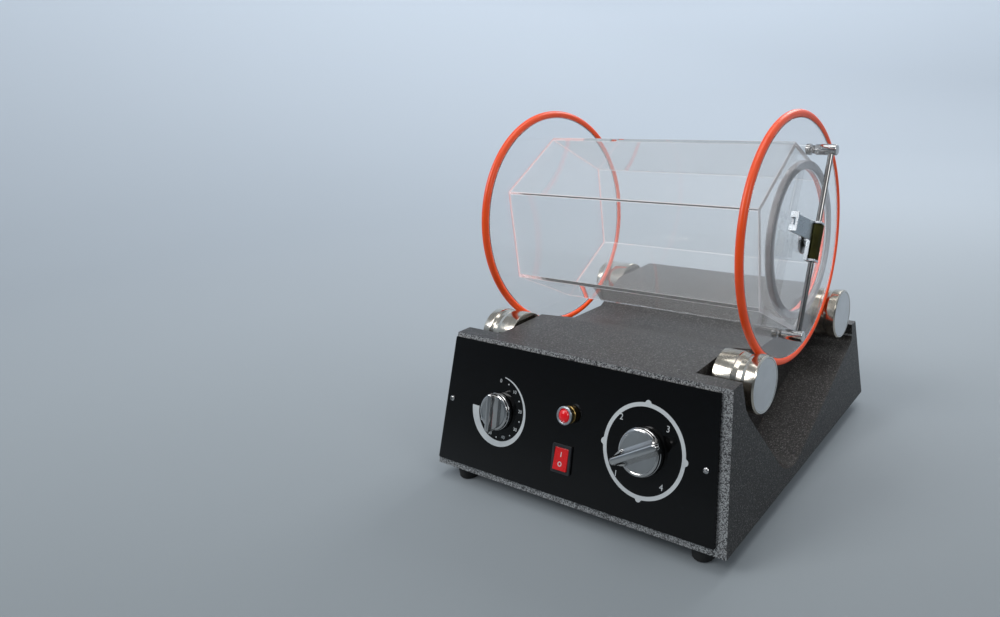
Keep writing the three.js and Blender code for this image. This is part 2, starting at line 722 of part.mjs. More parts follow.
function addPosts() {
  const { radius, fromAxis, stub, end } = POST;
  const collarStart = discInner - GAP - COLLAR.length;
  const profile = stepped([
    [stub, collarStart - 1.5, discOuter + GAP],
    [radius - 0.6, discOuter + GAP, discOuter + 1],
    [radius, discOuter + 1, end - 1],
    [radius - 0.6, end - 1, end],
  ]);
  const collarBore = (stub + GAP) / Math.cos(Math.PI / SEGMENTS.small);
  const collar = ring(collarBore, COLLAR.radius, collarStart, discInner - GAP);
  for (const [place, side] of [['upper', 1], ['lower', -1]]) {
    const seat = alongBar(side * fromAxis);
    const crossBore = turnedZ(stepped([[ROD.radius + GAP, -radius - 3, ROD.endGap]]), SEGMENTS.small);
    if (side < 0) crossBore.rotateX(Math.PI);
    const post = turnedX(profile, ...seat, SEGMENTS.medium);
    addPart(`post_${place}`, cut(post, crossBore.applyMatrix4(barMatrix(side * fromAxis))), 'chrome');
    addPart(`post_collar_${place}`, turnedX(collar, ...seat, SEGMENTS.small), 'steel');
  }
}

function addDoor() {
  const { radius, rim, rimThickness, pane, gasket, gasketInner } = DOOR;
  const { wide } = SEGMENTS;
  const lid = [
    [0, lidStart],
    [radius, lidStart],
    [radius, lidStart + rimThickness - 1],
    [radius - 1, lidStart + rimThickness],
    [rim + 1, lidStart + rimThickness],
    [rim, lidStart + pane],
    [0, lidStart + pane],
  ];
  addPart('lid', turnedX(lid, DRUM.y, drumZ, wide), 'acrylic');
  const seal = ring(gasketInner, radius - 1, gasketStart, gasketStart + gasket);
  addPart('lid_gasket', turnedX(seal, DRUM.y, drumZ, wide), 'silicone');

  const stemTop = ROD.x - SLEEVE.radius - GAP;
  const pad = [
    [0, paneFace + GAP],
    [PAD.radius, paneFace + GAP],
    [PAD.radius, paneFace + PAD.base],
    [PAD.stem, paneFace + PAD.base + 1.5],
    [PAD.stem, stemTop],
    [0, stemTop],
  ];
  addPart('pressure_pad', turnedX(pad, DRUM.y, drumZ, SEGMENTS.medium), 'steel');
}

function addClamp() {
  const rod = turnedZ(stepped([[ROD.radius, -POST.fromAxis, POST.fromAxis]]), SEGMENTS.small);
  addPart('clamp_bar', rod, 'chrome', barMatrix(0));

  const half = SLEEVE.length / 2;
  const sleeve = turnedZ(
    [
      [ROD.radius + GAP, -half],
      [SLEEVE.radius - 0.8, -half],
      [SLEEVE.radius, -half + 0.8],
      [SLEEVE.radius, half - 0.8],
      [SLEEVE.radius - 0.8, half],
      [ROD.radius + GAP, half],
      [ROD.radius + GAP, -half],
    ],
    SEGMENTS.medium,
  );
  addPart('lever_sleeve', sleeve, 'bronze', barMatrix(0));
  addPart('lever_plate', leverPlate(), 'zinc', barMatrix(0));
}

/** Pressed lever: a web beside the sleeve, an ear at each end of it and a bent finger tab. */
function leverPlate() {
  const { length, width, thickness, dip, tab, ear, seat } = LEVER;
  const start = -SLEEVE.radius - GAP;
  const side = [
    [start, seat],
    [start - 4, seat],
    [-length, -dip + 4],
    [-length - 2, -dip + tab],
    [-length - 2 - thickness, -dip + tab],
    [-length - 1 - thickness, -dip + 2],
    [-length, -dip + 4 - thickness],
    [start - 4, seat - thickness],
    [start, seat - thickness],
  ];
  const shape = new THREE.Shape(side.map(([across, out]) => new THREE.Vector2(out, across)));
  const strip = new THREE.ExtrudeGeometry(shape, { depth: width, bevelEnabled: false });
  const reach = SLEEVE.length / 2 + GAP;
  const web = block([-ear, start - thickness, -reach - thickness], [seat, start, reach + thickness]);
  const ears = [-reach - thickness, reach].map((from) => {
    const blank = extrudeZ(roundedRectangle(2 * ear, 2 * ear - start - ear, 2), from, from + thickness);
    return blank.translate(0, (ear + start) / 2, 0);
  });
  const bore = turnedZ(stepped([[ROD.radius + GAP, -reach - 9, reach + 9]]), SEGMENTS.small);
  const slotDepth = tab - 2.5;
  const fingerSlot = block([-dip, -length - 8, width / 2 - 4], [-dip + slotDepth, -length + 1.5, width / 2 + 4]);
  return cut(join(strip, web, ...ears), fingerSlot, bore);
}

// ---------------------------------------------------------------- assembly

addHousing();
addBottomPlate();
addFeet();
addPanel();
addPanelScrews();
addTimer();
addSpeedSelector();
addLamp();
addRocker();
addShaftSet('front', rollerFrontY);
addShaftSet('rear', rollerRearY);
addDrive();
addRearFittings();
addDrum();
addPosts();
addDoor();
addClamp();

/** Put the origin at the middle of the footprint, on the surface the feet stand on. */
function centre(group) {
  const box = new THREE.Box3().setFromObject(group, true);
  const middle = box.getCenter(new THREE.Vector3());
  group.position.set(-middle.x, -middle.y, -box.min.z);
  group.updateMatrixWorld(true);
}
centre(tumbler);

export default tumbler;
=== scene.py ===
"""Looks of a rotary rock tumbler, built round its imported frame.

A hexagonal clear barrel turns between two belted discs on four grooved rollers. The base is a
folded sheet-metal box with a glossy control panel. All lengths are metres in the row frame.
"""

import logging
import math
from dataclasses import dataclass
from enum import Enum
from typing import Callable, Sequence, Union

import bmesh
import bpy
from mathutils import Matrix, Vector


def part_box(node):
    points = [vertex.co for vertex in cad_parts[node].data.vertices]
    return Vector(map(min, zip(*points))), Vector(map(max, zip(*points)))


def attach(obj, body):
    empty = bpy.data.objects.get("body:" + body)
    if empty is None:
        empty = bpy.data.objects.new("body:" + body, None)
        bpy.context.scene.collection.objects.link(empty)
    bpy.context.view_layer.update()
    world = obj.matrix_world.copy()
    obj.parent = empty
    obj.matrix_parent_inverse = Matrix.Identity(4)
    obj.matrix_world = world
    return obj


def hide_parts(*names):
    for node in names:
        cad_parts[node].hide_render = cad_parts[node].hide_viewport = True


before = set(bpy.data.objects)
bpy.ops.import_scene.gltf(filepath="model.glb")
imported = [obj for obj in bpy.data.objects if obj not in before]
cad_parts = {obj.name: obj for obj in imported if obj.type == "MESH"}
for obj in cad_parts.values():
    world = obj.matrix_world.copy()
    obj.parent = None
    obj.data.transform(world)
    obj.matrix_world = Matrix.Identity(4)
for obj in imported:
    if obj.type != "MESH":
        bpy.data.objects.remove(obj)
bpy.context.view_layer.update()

LOG = logging.getLogger("tumbler")

Colour = tuple[float, float, float]
Corner = tuple[float, ...]
Spot = tuple[float, float]
MM = 0.001
AXIS_TOLERANCE = 1e-7
CAD_WELD = 2e-6
PRINT_WELD = 1e-6
FLAT = math.radians(0.6)
SHARP = math.radians(32)
SEAT_GAP = 0.3
EVEN = (1.0, 1.0, 1.0)


class Body(str, Enum):
    """The bodies of the frame that the pieces ride on."""

    BASE = "base"
    DRUM = "drum"
    DOOR = "door"
    LEVER = "lever"
    FRONT_ROLLERS = "front_rollers"
    REAR_ROLLERS = "rear_rollers"
    TIMER = "timer_dial"
    SPEED = "speed_dial"
    ROCKER = "rocker"


# ------------------------------------------------------------------ shader language


class Value:
    """A shader socket that adds Math nodes when it is used in an expression."""

    def __init__(self, shader: "Shader", socket: bpy.types.NodeSocket) -> None:
        """Wraps a socket of a shader."""
        self.shader = shader
        self.socket = socket

    def _math(self, operation: str, first: "Feed", second: "Feed") -> "Value":
        """Adds one Math node and gives its result."""
        made = self.shader.node("ShaderNodeMath", {"operation": operation}, {0: first, 1: second})
        return Value(self.shader, made.outputs[0])

    def __add__(self, other: "Feed") -> "Value":
        """self + other."""
        return self._math("ADD", self, other)

    def __radd__(self, other: "Feed") -> "Value":
        """other + self."""
        return self._math("ADD", other, self)

    def __sub__(self, other: "Feed") -> "Value":
        """self - other."""
        return self._math("SUBTRACT", self, other)

    def __rsub__(self, other: "Feed") -> "Value":
        """other - self."""
        return self._math("SUBTRACT", other, self)

    def __mul__(self, other: "Feed") -> "Value":
        """self * other."""
        return self._math("MULTIPLY", self, other)

    def __rmul__(self, other: "Feed") -> "Value":
        """other * self."""
        return self._math("MULTIPLY", other, self)


Feed = Union[Value, bpy.types.NodeSocket, float, Sequence[float]]


class Shader:
    """A material under construction, with one main surface shader."""

    def __init__(self, name: str) -> None:
        """Starts an empty material with a principled surface."""
        self.material = bpy.data.materials.new(name)
        self.material.use_nodes = True
        self.tree = self.material.node_tree
        self.tree.nodes.clear()
        self.surface = self.node("ShaderNodeBsdfPrincipled")
        self.node("ShaderNodeOutputMaterial", {}, {"Surface": self.surface.outputs[0]})

    def node(
        self, kind: str, settings: dict | None = None, inputs: dict | None = None
    ) -> bpy.types.Node:
        """Adds a node.

        Args:
            kind: the node's type.
            settings: its own settings, set before the inputs.
            inputs: numbers or links for its sockets, by name or index.

        Returns:
            The new node.
        """
        made = self.tree.nodes.new(kind)
        for key, value in (settings or {}).items():
            setattr(made, key, value)
        for key, value in (inputs or {}).items():
            self.feed(made.inputs[key], value)
        return made

    def feed(self, socket: bpy.types.NodeSocket, value: Feed) -> None:
        """Links a value to a socket, or sets the socket's own number or colour.

        Args:
            socket: the socket to feed.
            value: a value or socket to link, or a number, vector or colour.
        """
        if isinstance(value, Value):
            self.tree.links.new(value.socket, socket)
        elif isinstance(value, bpy.types.NodeSocket):
            self.tree.links.new(value, socket)
        elif isinstance(value, tuple) and socket.type == "RGBA" and len(value) == 3:
            socket.default_value = (*value, 1.0)
        else:
            socket.default_value = value

    def look(self, **sockets: Feed) -> None:
        """Feeds sockets of the surface; an underscore in a name stands for a space."""
        for key, value in sockets.items():
            self.feed(self.surface.inputs[key.replace("_", " ")], value)

    def place(self, stretch: Colour = EVEN) -> bpy.types.NodeSocket:
        """Gives the position on the object.

        Args:
            stretch: how much it is stretched along each axis.

        Returns:
            The socket of the position.
        """
        spot = self.node("ShaderNodeTexCoord").outputs["Object"]
        if stretch == EVEN:
            return spot
        inputs = {0: spot, 1: stretch}
        return self.node("ShaderNodeVectorMath", {"operation": "MULTIPLY"}, inputs).outputs[0]

    def noise(self, scale: float, detail: float = 2.0, stretch: Colour = EVEN) -> Value:
        """Adds a noise pattern with that many features in a metre and gives its strength."""
        inputs = {"Vector": self.place(stretch), "Scale": scale, "Detail": detail, "Roughness": 0.55}
        return Value(self, self.node("ShaderNodeTexNoise", {}, inputs).outputs[0])

    def cells(self, scale: float, feature: str = "F1") -> bpy.types.Node:
        """Adds a cell pattern with that many cells in a metre."""
        inputs = {"Vector": self.place(), "Scale": scale}
        return self.node("ShaderNodeTexVoronoi", {"feature": feature}, inputs)

    def between(self, value: Feed, low: float, high: float) -> Value:
        """Gives 0 below low, 1 above high and a straight rise between them."""
        inputs = {"Value": value, "From Min": low, "From Max": high}
        return Value(self, self.node("ShaderNodeMapRange", {}, inputs).outputs[0])

    def mix(self, factor: Feed, first: Feed, second: Feed) -> bpy.types.NodeSocket:
        """Mixes two colours."""
        made = self.node("ShaderNodeMix", {"data_type": "RGBA"}, {0: factor, 6: first, 7: second})
        return made.outputs[2]

    def bump(self, height: Feed, strength: float, depth: float) -> None:
        """Raises the surface by a height pattern."""
        inputs = {"Height": height, "Strength": strength, "Distance": depth}
        self.look(Normal=self.node("ShaderNodeBump", {}, inputs).outputs[0])


# ------------------------------------------------------------------ finishes


@dataclass(frozen=True)
class Hammertone:
    """Mottled paint with metal flakes in it."""

    name: str
    dark: Colour
    light: Colour
    flake: Colour = (0.62, 0.62, 0.61)
    flake_share: float = 0.16
    flake_strength: float = 0.7
    roughness: float = 0.36
    scale: float = 1.0

    def build(self) -> bpy.types.Material:
        """Makes the material."""
        shader = Shader(self.name)
        blister = Value(shader, shader.cells(430 * self.scale, "SMOOTH_F1").outputs["Distance"])
        grain = shader.noise(1500 * self.scale, 3)
        cloud = shader.noise(38, 3)
        height = blister * 0.9 + grain * 0.45
        mottle = shader.between(height + cloud * 0.3, 0.48, 0.92)
        spots = shader.cells(1050 * self.scale)
        pick = shader.node("ShaderNodeSeparateColor", {}, {0: spots.outputs["Color"]}).outputs[0]
        share = self.flake_share
        flakes = shader.between(pick, 1 - share, 1.02 - share) * self.flake_strength
        body = shader.mix(mottle, self.dark, self.light)
        shader.look(
            Base_Color=shader.mix(flakes, body, self.flake),
            Metallic=flakes * 0.85,
            Roughness=self.roughness + grain * 0.16 - flakes * 0.1,
        )
        shader.bump(height + flakes * 0.25, 0.5, 0.35 * MM)
        return shader.material


@dataclass(frozen=True)
class Plated:
    """Metal with a plated or turned surface: fine lines, faint clouds and small scratches."""

    name: str
    colour: Colour
    shade: Colour
    roughness: float = 0.09
    spread: float = 0.10
    lines: Colour = (900.0, 30.0, 30.0)
    relief: float = 0.12

    def build(self) -> bpy.types.Material:
        """Makes the material."""
        shader = Shader(self.name)
        lines = shader.noise(1.0, 3, self.lines)
        cloud = shader.noise(24, 4)
        smear = shader.noise(160, 3, (1.0, 0.25, 0.6))
        shader.look(
            Base_Color=shader.mix(shader.between(cloud, 0.35, 0.7), self.colour, self.shade),
            Metallic=1.0,
            Roughness=self.roughness + shader.between(smear, 0.45, 0.8) * self.spread + lines * 0.05,
        )
        shader.bump(lines, self.relief, 0.02 * MM)
        return shader.material


@dataclass(frozen=True)
class Moulded:
    """Moulded plastic, rubber or paint with a fine grain and slight wear."""

    name: str
    colour: Colour
    worn: Colour
    roughness: float = 0.45
    grain: float = 2400.0
    relief: float = 0.25
    coat: float = 0.0
    alpha: float = 1.0
    glow: float = 0.0

    def build(self) -> bpy.types.Material:
        """Makes the material."""
        shader = Shader(self.name)
        grain = shader.noise(self.grain, 2)
        cloud = shader.noise(55, 4)
        wear = shader.between(cloud + grain * 0.2, 0.56, 0.8)
        shader.look(
            Base_Color=shader.mix(wear * 0.7, self.colour, self.worn),
            Roughness=self.roughness + grain * 0.12 - wear * 0.06,
            Coat_Weight=self.coat,
            Coat_Roughness=0.08,
            Alpha=self.alpha,
        )
        # Glow is an even emission in the part's own colour: painted light on the belt, the rocker and
        # the barrel's edges; on the lamp's lens it stands for the lamp.
        if self.glow:
            shader.look(Emission_Color=self.colour, Emission_Strength=self.glow)
        shader.bump(grain, self.relief, 0.05 * MM)
        return shader.material


@dataclass(frozen=True)
class Gloss:
    """Very smooth lacquer or glazed sheet with dust and wiping marks."""

    name: str
    colour: Colour
    dust: Colour
    roughness: float = 0.06
    shine: float = 0.32

    def build(self) -> bpy.types.Material:
        """Makes the material."""
        shader = Shader(self.name)
        wipe = shader.noise(9, 5, (1.0, 4.0, 1.5))
        dust = shader.between(shader.noise(900, 2), 0.70, 0.78)
        shader.look(
            Base_Color=shader.mix(dust * 0.4, self.colour, self.dust),
            Roughness=self.roughness + shader.between(wipe, 0.4, 0.8) * 0.12 + dust * 0.2,
            Specular_IOR_Level=self.shine,
        )
        shader.bump(shader.noise(14, 2), 0.04, 0.3 * MM)
        return shader.material


@dataclass(frozen=True)
class Clear:
    """Clear or translucent sheet, polished, with faint wiping marks."""

    name: str
    tint: Colour
    haze: Colour
    roughness: float = 0.015
    spread: float = 0.03
    index: float = 1.49
    through: float = 1.0

    def build(self) -> bpy.types.Material:
        """Makes the material."""
        shader = Shader(self.name)
        marks = shader.between(shader.noise(11, 5, (0.5, 1.0, 2.0)), 0.5, 0.8)
        scratches = shader.between(shader.noise(600, 2, (0.08, 1.0, 1.0)), 0.66, 0.72)
        shader.look(
            Base_Color=shader.mix(marks * 0.5, self.tint, self.haze),
            Roughness=self.roughness + marks * self.spread + scratches * 0.03,
            IOR=self.index,
            Transmission_Weight=self.through,
        )
        return shader.material


class Paintbox:
    """Every finish of the machine, built once."""

    FINISHES = (
        Hammertone(
            "hammertone_paint", (0.0040, 0.0037, 0.0037), (0.030, 0.027, 0.025),
            (0.36, 0.35, 0.34), flake_share=0.12, flake_strength=0.36, scale=1.15,
        ),
        # Lighter, more flaked copy of the housing paint for the front faces: painted glint where the
        # front catches the light.
        Hammertone(
            "hammertone_painted_glint", (0.010, 0.010, 0.011), (0.20, 0.20, 0.205),
            flake_share=0.42, flake_strength=0.95,
        ),
        Gloss("panel_lacquer", (0.002, 0.002, 0.0022), (0.04, 0.04, 0.04)),
        Plated("bright_chrome", (0.66, 0.66, 0.66), (0.52, 0.51, 0.50), 0.07, 0.06),
        Plated("dark_chrome", (0.36, 0.35, 0.34), (0.24, 0.23, 0.22), 0.10, 0.08),
        Plated("polished_nickel", (0.60, 0.56, 0.49), (0.44, 0.39, 0.32), 0.12, 0.08),
        Plated(
            "roller_face", (0.72, 0.73, 0.74), (0.62, 0.63, 0.64), 0.30, 0.10,
            (60.0, 700.0, 700.0),
        ),
        Plated("turned_steel", (0.55, 0.55, 0.56), (0.42, 0.42, 0.42), 0.24, 0.12),
        Plated(
            "zinc_plate", (0.62, 0.66, 0.69), (0.50, 0.54, 0.58), 0.24, 0.16,
            (140.0, 140.0, 140.0),
        ),
        Plated(
            "oiled_bronze", (0.075, 0.070, 0.022), (0.030, 0.028, 0.012), 0.36, 0.16,
            (90.0, 500.0, 90.0), 0.3,
        ),
        Plated("machined_brass", (0.50, 0.34, 0.12), (0.36, 0.24, 0.09), 0.24, 0.12),
        Moulded("black_rubber", (0.010, 0.010, 0.010), (0.030, 0.030, 0.029), 0.72, 1900, 0.5),
        # The belt's faint glow is painted light.
        Moulded(
            "orange_belt", (0.95, 0.085, 0.006), (0.88, 0.060, 0.006), 0.34, 700, 0.12,
            coat=0.15, glow=0.06,
        ),
        Moulded("dark_plastic", (0.016, 0.017, 0.020), (0.040, 0.041, 0.044), 0.42),
        # The rocker's faint glow is painted light.
        Moulded(
            "red_plastic", (0.62, 0.008, 0.010), (0.52, 0.010, 0.010), 0.22,
            coat=0.5, glow=0.12,
        ),
        Moulded(
            "red_lens", (0.60, 0.004, 0.008), (0.50, 0.004, 0.008), 0.16,
            coat=0.3, relief=0.05, glow=0.35,
        ),
        Moulded("motor_paint", (0.080, 0.086, 0.094), (0.13, 0.13, 0.13), 0.42),
        Moulded("panel_ink", (0.66, 0.69, 0.70), (0.55, 0.58, 0.60), 0.40, relief=0.1),
        # Pale, half-clear and glowing: painted highlight for the barrel's edge and end faces.
        Moulded(
            "edge_painted_highlight", (0.80, 0.76, 0.77), (0.84, 0.80, 0.81), 0.30,
            relief=0.1, alpha=0.60, glow=0.38,
        ),
        # Painted shade: the grey look of thick clear edges, on the lid's rim and the right joint.
        Moulded(
            "grey_painted_edge_shade", (0.34, 0.34, 0.355), (0.44, 0.44, 0.46), 0.32, relief=0.1, alpha=0.55
        ),
        # Painted reflection of the orange belt, on the left joint of barrel and disc.
        Moulded(
            "red_painted_reflection", (0.66, 0.08, 0.10), (0.74, 0.20, 0.22), 0.30, relief=0.1, alpha=0.72
        ),
        Moulded(
            "milky_silicone", (0.42, 0.44, 0.46), (0.50, 0.52, 0.54), 0.45,
            relief=0.1, alpha=0.50,
        ),
        Clear(
            "clear_acrylic", (0.985, 0.990, 0.992), (0.965, 0.970, 0.975), through=0.955
        ),
        Clear("lid_acrylic", (0.95, 0.96, 0.97), (0.92, 0.93, 0.94), through=0.95),
    )

    def __init__(self) -> None:
        """Builds every finish."""
        self.made = {finish.name: finish.build() for finish in self.FINISHES}

    def __getitem__(self, name: str) -> bpy.types.Material:
        """Gives a finish by its name."""
        return self.made[name]


# ------------------------------------------------------------------ mesh making


def in_mm(*points: Corner) -> list[Corner]:
    """Turns points that are given in millimetres into metres."""
    return [tuple(MM * number for number in point) for point in points]


def polar(radius: float, degrees: float) -> Spot:
    """Point at a distance and an angle from the centre."""
    angle = math.radians(degrees)
    return radius * math.cos(angle), radius * math.sin(angle)


def make_object(
    name: str, corners: Sequence, faces: Sequence, smooth: bool = True
) -> bpy.types.Object:
    """Makes an object from corners and faces, with its normals outwards.

    Args:
        name: the piece's name.
        corners: points in the row frame.
        faces: corner numbers of each face.
        smooth: whether gentle edges are shaded smooth.

    Returns:
        The object, linked to the scene.
    """
    mesh = bpy.data.meshes.new(name)
    mesh.from_pydata([tuple(corner) for corner in corners], [], [tuple(face) for face in faces])
    tidy_mesh(mesh, smooth)
    made = bpy.data.objects.new(name, mesh)
    bpy.context.scene.collection.objects.link(made)
    return made


def tidy_mesh(mesh: bpy.types.Mesh, smooth: bool = True) -> None:
    """Turns a mesh's faces outwards.

    Args:
        mesh: the mesh.
        smooth: whether gentle edges are shaded smooth.
    """
    work = bmesh.new()
    work.from_mesh(mesh)
    bmesh.ops.recalc_face_normals(work, faces=work.faces)
    work.to_mesh(mesh)
    work.free()
    if smooth:
        mesh.shade_smooth()
        mesh.set_sharp_from_angle(angle=SHARP)


def rounded(corners: Sequence[Corner], closed: bool, steps: int = 5) -> list[Spot]:
    """Rounds the corners of an outline that give a radius as their third number.

    Args:
        corners: (x, y) or (x, y, radius) points.
        closed: whether the last point joins the first.
        steps: straight pieces in each rounded corner.

    Returns:
        The points of the rounded outline.
    """
    points: list[Spot] = []
    for i, corner in enumerate(corners):
        at = Vector(corner[:2])
        radius = corner[2] if len(corner) > 2 else 0.0
        if radius <= 0 or (not closed and i in (0, len(corners) - 1)):
            points.append(tuple(at))
            continue
        before = (Vector(corners[i - 1][:2]) - at).normalized()
        after = (Vector(corners[(i + 1) % len(corners)][:2]) - at).normalized()
        half = before.angle(after) / 2
        reach = radius / math.tan(half)
        centre = at + (before + after).normalized() * (radius / math.sin(half))
        start = at + before * reach - centre
        turn = start.angle_signed(at + after * reach - centre)
        for k in range(steps + 1):
            points.append(tuple(centre + Matrix.Rotation(-turn * k / steps, 2) @ start))
    return points


def lathe(
    name: str, profile: Sequence[Corner], place: Matrix, segments: int = 96, ring: bool = False
) -> bpy.types.Object:
    """Turns a profile about local Z.

    Args:
        name: the piece's name.
        profile: (radius, height) or (radius, height, fillet) points.
        place: where local space goes in the row frame.
        segments: faces round the axis.
        ring: whether the profile's last point joins its first.

    Returns:
        The turned object.
    """
    outline = rounded(profile, ring)
    corners: list[Vector] = []
    rows: list[list[int]] = []
    for radius, height in outline:
        start = len(corners)
        if radius < AXIS_TOLERANCE:
            corners.append(place @ Vector((0, 0, height)))
            rows.append([start] * segments)
            continue
        for k in range(segments):
            corners.append(place @ Vector((*polar(radius, 360 * k / segments), height)))
        rows.append(list(range(start, start + segments)))
    pairs = list(zip(rows, rows[1:] + ([rows[0]] if ring else [])))
    faces = []
    for low, high in pairs:
        for k in range(segments):
            n = (k + 1) % segments
            face = list(dict.fromkeys((low[k], low[n], high[n], high[k])))
            if len(face) > 2:
                faces.append(face)
    return make_object(name, corners, faces)


def stack(name: str, layers: Sequence[tuple[Sequence, float]], place: Matrix) -> bpy.types.Object:
    """Joins outlines of equal point counts into one closed body along local Z.

    Args:
        name: the piece's name.
        layers: (outline, height) pairs from bottom to top.
        place: where local space goes in the row frame.

    Returns:
        The closed body.
    """
    count = len(layers[0][0])
    corners = [place @ Vector((x, y, height)) for outline, height in layers for x, y in outline]
    faces = [list(range(count))[::-1], list(range(len(corners) - count, len(corners)))]
    for layer in range(len(layers) - 1):
        start = layer * count
        for k in range(count):
            n = (k + 1) % count
            faces.append([start + k, start + n, start + count + n, start + count + k])
    return make_object(name, corners, faces)


def rounded_box(width: float, height: float, radius: float, steps: int = 6) -> list[Spot]:
    """Outline of a rectangle with rounded corners, centred."""
    w, h = width / 2, height / 2
    corners = [(-w, -h, radius), (w, -h, radius), (w, h, radius), (-w, h, radius)]
    return rounded(corners, True, steps)


def refined(node: str, name: str, edge: float, steps: int = 2) -> bpy.types.Object:
    """Copies a CAD node into a piece of its own, with flat faces joined and edges rounded.

    Args:
        node: the CAD node.
        name: the new piece's name.
        edge: width of the rounded edges.
        steps: straight pieces in each rounded edge.

    Returns:
        The new piece.
    """
    work = bmesh.new()
    work.from_mesh(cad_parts[node].data)
    bmesh.ops.remove_doubles(work, verts=work.verts, dist=CAD_WELD)
    bmesh.ops.dissolve_limit(
        work, angle_limit=FLAT, verts=work.verts, edges=work.edges, delimit=set()
    )
    sharp = [e for e in work.edges if len(e.link_faces) == 2 and e.calc_face_angle(0.0) > SHARP]
    bmesh.ops.bevel(
        work, geom=sharp, offset=edge, segments=steps, profile=0.5, affect="EDGES", clamp_overlap=True
    )
    mesh = bpy.data.meshes.new(name)
    work.to_mesh(mesh)
    work.free()
    tidy_mesh(mesh)
    made = bpy.data.objects.new(name, mesh)
    bpy.context.scene.collection.objects.link(made)
    keep = made.modifiers.new("even_faces", "WEIGHTED_NORMAL")
    keep.keep_sharp = True
    return made


def evaluated_mesh(piece: bpy.types.Object) -> bpy.types.Mesh:
    """Gives a new mesh of a piece with its modifiers applied."""
    bpy.context.view_layer.update()
    graph = bpy.context.evaluated_depsgraph_get()
    return bpy.data.meshes.new_from_object(piece.evaluated_get(graph))


def carve(piece: bpy.types.Object, *cutters: bpy.types.Object) -> bpy.types.Object:
    """Cuts bodies out of a piece and throws the cutters away.

    Args:
        piece: the piece to cut.
        cutters: the bodies to cut out.

    Returns:
        The same piece.
    """
    for cutter in cutters:
        cut = piece.modifiers.new("cut", "BOOLEAN")
        cut.operation = "DIFFERENCE"
        cut.solver = "EXACT"
        cut.object = cutter
    result = evaluated_mesh(piece)
    piece.modifiers.clear()
    piece.data = result
    tidy_mesh(result)
    for cutter in cutters:
        bpy.data.objects.remove(cutter)
    return piece


def along_x(x: float, y: float, z: float) -> Matrix:
    """Placement whose local Z lies along the row's X, at a point."""
    return Matrix(((0, 0, 1, x), (1, 0, 0, y), (0, 1, 0, z), (0, 0, 0, 1)))


def upright(x: float, y: float, z: float) -> Matrix:
    """Placement whose local Z is up, at a point."""
    return Matrix.Translation((x, y, z))


def facing(origin: Vector, across: Vector, up: Vector) -> Matrix:
    """Placement on a plane.

    Args:
        origin: its origin.
        across: direction of local X, across the plane.
        up: direction of local Y, up the plane.

    Returns:
        The placement, with local Z out of the plane.
    """
    out = across.cross(up)
    rows = [(across[i], up[i], out[i], origin[i]) for i in range(3)]
    return Matrix((*rows, (0, 0, 0, 1)))


def middle(node: str) -> Vector:
    """Middle of a CAD node's box."""
    low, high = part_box(node)
    return (low + high) / 2


# ------------------------------------------------------------------ sub-assemblies


@dataclass
class SubAssembly:
    """A group of pieces that share a paintbox."""

    paints: Paintbox

    def settle(
        self, piece: bpy.types.Object, body: Body, paint: str, slot: str, *nodes: str
    ) -> bpy.types.Object:
        """Dresses a piece and ties it to the frame.

        Args:
            piece: the object.
            body: the body that it rides on.
            paint: its finish.
            slot: not used.
            nodes: the CAD nodes that it stands for.

        Returns:
            The same piece.
        """
        piece.data.materials.clear()
        piece.data.materials.append(self.paints[paint])
        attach(piece, body.value)
        if nodes:
            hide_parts(*nodes)
        LOG.info("%s rides on %s in %s", piece.name, body.value, paint)
        return piece

    def recast(
        self, node: str, name: str, body: Body, paint: str, slot: str, edge: float, steps: int = 2
    ) -> bpy.types.Object:
        """Makes a finer copy of a CAD node, dresses it and ties it to the frame.

        Args:
            node: the CAD node.
            name: the new piece's name.
            body: the body that it rides on.
            paint: its finish.
            slot: handed on to settle, which does not use it.
            edge: width of the rounded edges in millimetres.
            steps: straight pieces in each rounded edge.

        Returns:
            The new piece.
        """
        return self.settle(refined(node, name, edge * MM, steps), body, paint, slot, node)

    def repaint(self, piece: bpy.types.Object, paint: str, test: Callable) -> None:
        """Gives some faces of a piece a second finish.

        Args:
            piece: the object.
            paint: the second finish.
            test: says of a face whether it gets it.
        """
        piece.data.materials.append(self.paints[paint])
        index = len(piece.data.materials) - 1
        for face in piece.data.polygons:
            if test(face):
                face.material_index = index

    def dress(self, paint: str, *nodes: str) -> None:
        """Gives CAD nodes that stay as they are a finish.

        Args:
            paint: the finish.
            nodes: the CAD nodes.
        """
        for node in nodes:
            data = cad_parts[node].data
            data.materials.clear()
            data.materials.append(self.paints[paint])
            LOG.info("%s keeps its shape in %s", node, paint)


